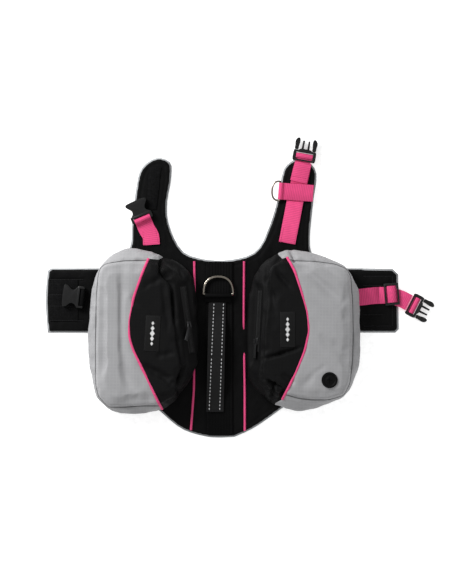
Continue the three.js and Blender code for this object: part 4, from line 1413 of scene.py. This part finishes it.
class HarnessSizes(bpy.types.PropertyGroup):
    """Sizes that a user would change."""

    quilt_depth: bpy.props.FloatProperty(
        name="Channel depth", description="Depth of the sewn channels in the padded cloth", default=1.0 * MM,
        min=0.0, max=2 * MM, unit="LENGTH")
    seam_depth: bpy.props.FloatProperty(
        name="Bag seam depth", description="How far the bag's front seam pulls in", default=1.9 * MM,
        min=0.0, max=4 * MM, unit="LENGTH")
    crease_depth: bpy.props.FloatProperty(
        name="Crease strength", description="How strongly the bags are creased", default=2.3,
        min=0.0, max=4.0)
    swell: bpy.props.FloatProperty(
        name="Bag swell", description="Most that the stuffed bag may swell", default=3.0 * MM,
        min=0.0, max=8 * MM, unit="LENGTH")


class HarnessColours(bpy.types.PropertyGroup):
    """Colours of the cloth, webbing and hardware."""

    nylon: bpy.props.FloatVectorProperty(
        name="Black cloth", description="Vest cloth and black bag panels", default=(0.0034, 0.0034, 0.0036),
        size=3, min=0, max=1, subtype="COLOR")
    oxford: bpy.props.FloatVectorProperty(
        name="Grey cloth", description="Outer bag panels", default=(0.325, 0.325, 0.333),
        size=3, min=0, max=1, subtype="COLOR")
    pink: bpy.props.FloatVectorProperty(
        name="Pink webbing", description="Straps and piping", default=(0.86, 0.078, 0.245),
        size=3, min=0, max=1, subtype="COLOR")
    lining: bpy.props.FloatVectorProperty(
        name="Lining", description="Mesh lining", default=(0.34, 0.35, 0.36),
        size=3, min=0, max=1, subtype="COLOR")
    plastic: bpy.props.FloatVectorProperty(
        name="Plastic", description="Buckles and tri-glide", default=(0.0055, 0.0055, 0.0057),
        size=3, min=0, max=1, subtype="COLOR")
    nickel: bpy.props.FloatVectorProperty(
        name="Nickel", description="Rings", default=(0.26, 0.235, 0.20),
        size=3, min=0, max=1, subtype="COLOR")


class MakeFinishes(bpy.types.Operator):
    """Makes the cloth, webbing, plastic and metal finishes"""

    bl_idname = "harness.finishes"
    bl_label = "Finishes"

    def execute(self, context):
        colours = context.scene.harness_colours
        woven_cloth("Black nylon", tint(colours.nylon, 0.6), 0.9, rough=0.66, sheen=0.0, shine=0.08)
        woven_cloth("Black oxford", colours.nylon, 1.0, rough=0.66, sheen=0.0, turn=2.0, grid=5.0, shine=0.1)
        woven_cloth("Grey oxford", colours.oxford, 1.0, rough=0.7, sheen=0.05, turn=1.0, grid=5.0, depth=0.15,
                    mottle=0.04)
        # Dark grey for the seam cord: painted shadow along the bags' front seams.
        woven_cloth("Seam shadow", tint(colours.oxford, 0.28), 0.5, rough=0.8, sheen=0.0)
        webbing_cloth("Pink webbing", colours.pink, 2.6, depth=0.5, mottle=0.07)
        webbing_cloth("Pink piping", colours.pink, 1.2, depth=0.25, mottle=0.07)
        webbing_cloth("Black webbing", tint(colours.nylon, 0.6), 2.0, sheen=0.0, shine=0.06, lengthwise=True)
        webbing_cloth("Handle webbing", tint(colours.nylon, 2.4), 2.8, depth=0.9)
        webbing_cloth("Zip tape", colours.nylon, 1.2, rough=0.8)
        woven_cloth("Black thread", tint(colours.nylon, 2.6), 0.4, rough=0.6, sheen=0.0)
        woven_cloth("Pink thread", tint(colours.pink, 0.55), 0.4, rough=0.6, sheen=0.0)
        woven_cloth("Label thread", tint(colours.nylon, 8.0), 0.4, rough=0.6, sheen=0.0)
        woven_cloth("White thread", (0.8, 0.8, 0.8), 0.4, rough=0.6)
        woven_cloth("Reflective thread", (0.72, 0.73, 0.74), 0.5, rough=0.35, sheen=0.0)
        woven_cloth("Woven label", tint(colours.nylon, 0.8), 0.5, rough=0.6, sheen=0.1)
        hook_cloth("Hook tape", tint(colours.nylon, 1.6))
        spacer_mesh("Lining mesh", colours.lining)
        moulded("Black plastic", colours.plastic, rough=0.36, specular=0.28)
        moulded("Zip teeth", colours.plastic, rough=0.45)
        moulded("Zip metal", tint(colours.plastic, 5), rough=0.3, metallic=0.6)
        moulded("Black rubber", tint(colours.plastic, 0.4), rough=0.55, specular=0.08)
        moulded("Nickel", colours.nickel, rough=0.2, metallic=1.0, wear=1.15, bump=0.005)
        moulded("Floor", (0.9, 0.9, 0.9), rough=0.7, grain_size=300.0, wear=1.0, specular=0.1)
        return {"FINISHED"}


class MakeVestShell(bpy.types.Operator):
    """Makes the padded black cloth of the vest"""

    bl_idname = "harness.vest_shell"
    bl_label = "Vest shell"

    def execute(self, context):
        make_vest_shell(context.scene.harness_sizes)
        return {"FINISHED"}


class MakeVestLining(bpy.types.Operator):
    """Makes the grey mesh lining under the vest"""

    bl_idname = "harness.vest_lining"
    bl_label = "Vest lining"

    def execute(self, context):
        make_vest_lining()
        return {"FINISHED"}


class MakeVestStitching(bpy.types.Operator):
    """Makes the topstitching of the wings"""

    bl_idname = "harness.stitching"
    bl_label = "Vest stitching"

    def execute(self, context):
        make_vest_stitching()
        return {"FINISHED"}


class MakeSpine(bpy.types.Operator):
    """Makes the spine webbing and the vest's piping"""

    bl_idname = "harness.spine"
    bl_label = "Spine"

    def execute(self, context):
        make_spine()
        return {"FINISHED"}


class MakeLeftBag(bpy.types.Operator):
    """Makes the left saddle bag with its zip, label and piping"""

    bl_idname = "harness.left_bag"
    bl_label = "Left bag"

    def execute(self, context):
        make_bag("left", context.scene.harness_sizes)
        return {"FINISHED"}


class MakeRightBag(bpy.types.Operator):
    """Makes the right saddle bag with its zip, label, piping and cable port"""

    bl_idname = "harness.right_bag"
    bl_label = "Right bag"

    def execute(self, context):
        make_bag("right", context.scene.harness_sizes)
        return {"FINISHED"}


class MakeHandle(bpy.types.Operator):
    """Makes the grab handle with its reflective dashes"""

    bl_idname = "harness.handle"
    bl_label = "Handle"

    def execute(self, context):
        make_handle()
        return {"FINISHED"}


class MakeNeckStraps(bpy.types.Operator):
    """Makes the neck webbing, its keeper band and the back ring's tab"""

    bl_idname = "harness.neck_straps"
    bl_label = "Neck straps"

    def execute(self, context):
        make_neck_straps()
        return {"FINISHED"}


class MakeWingStraps(bpy.types.Operator):
    """Makes the webbing on the wings"""

    bl_idname = "harness.wing_straps"
    bl_label = "Wing straps"

    def execute(self, context):
        make_wing_straps()
        return {"FINISHED"}


class MakeHookTape(bpy.types.Operator):
    """Makes the hook tape on the left neck strap and left wing"""

    bl_idname = "harness.hook_patches"
    bl_label = "Hook tape"

    def execute(self, context):
        make_hook_patches()
        return {"FINISHED"}


class MakeBuckles(bpy.types.Operator):
    """Makes the buckle sockets, the plugs and the tri-glide"""

    bl_idname = "harness.buckles"
    bl_label = "Buckles"

    def execute(self, context):
        make_buckles()
        return {"FINISHED"}


class MakeRings(bpy.types.Operator):
    """Makes the nickel rings and the zip sliders"""

    bl_idname = "harness.rings"
    bl_label = "Rings and sliders"

    def execute(self, context):
        make_rings()
        return {"FINISHED"}


class MakeStage(bpy.types.Operator):
    """Makes the floor, the lights and the camera"""

    bl_idname = "harness.stage"
    bl_label = "Stage"

    def execute(self, context):
        make_stage()
        return {"FINISHED"}


class HarnessPanel(bpy.types.Panel):
    """Lists the harness's pieces, sizes and colours"""

    bl_idname = "VIEW3D_PT_harness"
    bl_label = "Harness vest"
    bl_space_type = "VIEW_3D"
    bl_region_type = "UI"
    bl_category = "Harness"

    def draw(self, context):
        layout = self.layout
        for group in (context.scene.harness_sizes, context.scene.harness_colours):
            for name in group.__annotations__:
                layout.prop(group, name)
        for kind in OPERATORS:
            layout.operator(kind.bl_idname)


OPERATORS = (
    MakeFinishes, MakeVestShell, MakeVestLining, MakeVestStitching, MakeSpine, MakeLeftBag, MakeRightBag,
    MakeHandle, MakeNeckStraps, MakeWingStraps, MakeHookTape, MakeBuckles, MakeRings, MakeStage,
)
CLASSES = (HarnessSizes, HarnessColours, *OPERATORS, HarnessPanel)


def register():
    """Adds the harness's settings, operators and panel to Blender."""
    for kind in CLASSES:
        bpy.utils.register_class(kind)
    bpy.types.Scene.harness_sizes = bpy.props.PointerProperty(type=HarnessSizes)
    bpy.types.Scene.harness_colours = bpy.props.PointerProperty(type=HarnessColours)


def unregister():
    """Takes them out again."""
    del bpy.types.Scene.harness_colours
    del bpy.types.Scene.harness_sizes
    for kind in reversed(CLASSES):
        bpy.utils.unregister_class(kind)


def main():
    """Makes the finishes, every group of pieces and the stage."""
    register()
    bpy.ops.harness.finishes()
    bpy.ops.harness.vest_shell()
    bpy.ops.harness.vest_lining()
    bpy.ops.harness.stitching()
    bpy.ops.harness.spine()
    bpy.ops.harness.left_bag()
    bpy.ops.harness.right_bag()
    bpy.ops.harness.handle()
    bpy.ops.harness.neck_straps()
    bpy.ops.harness.wing_straps()
    bpy.ops.harness.hook_patches()
    bpy.ops.harness.buckles()
    bpy.ops.harness.rings()
    bpy.ops.harness.stage()
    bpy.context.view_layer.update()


if __name__ == "__main__":
    main()
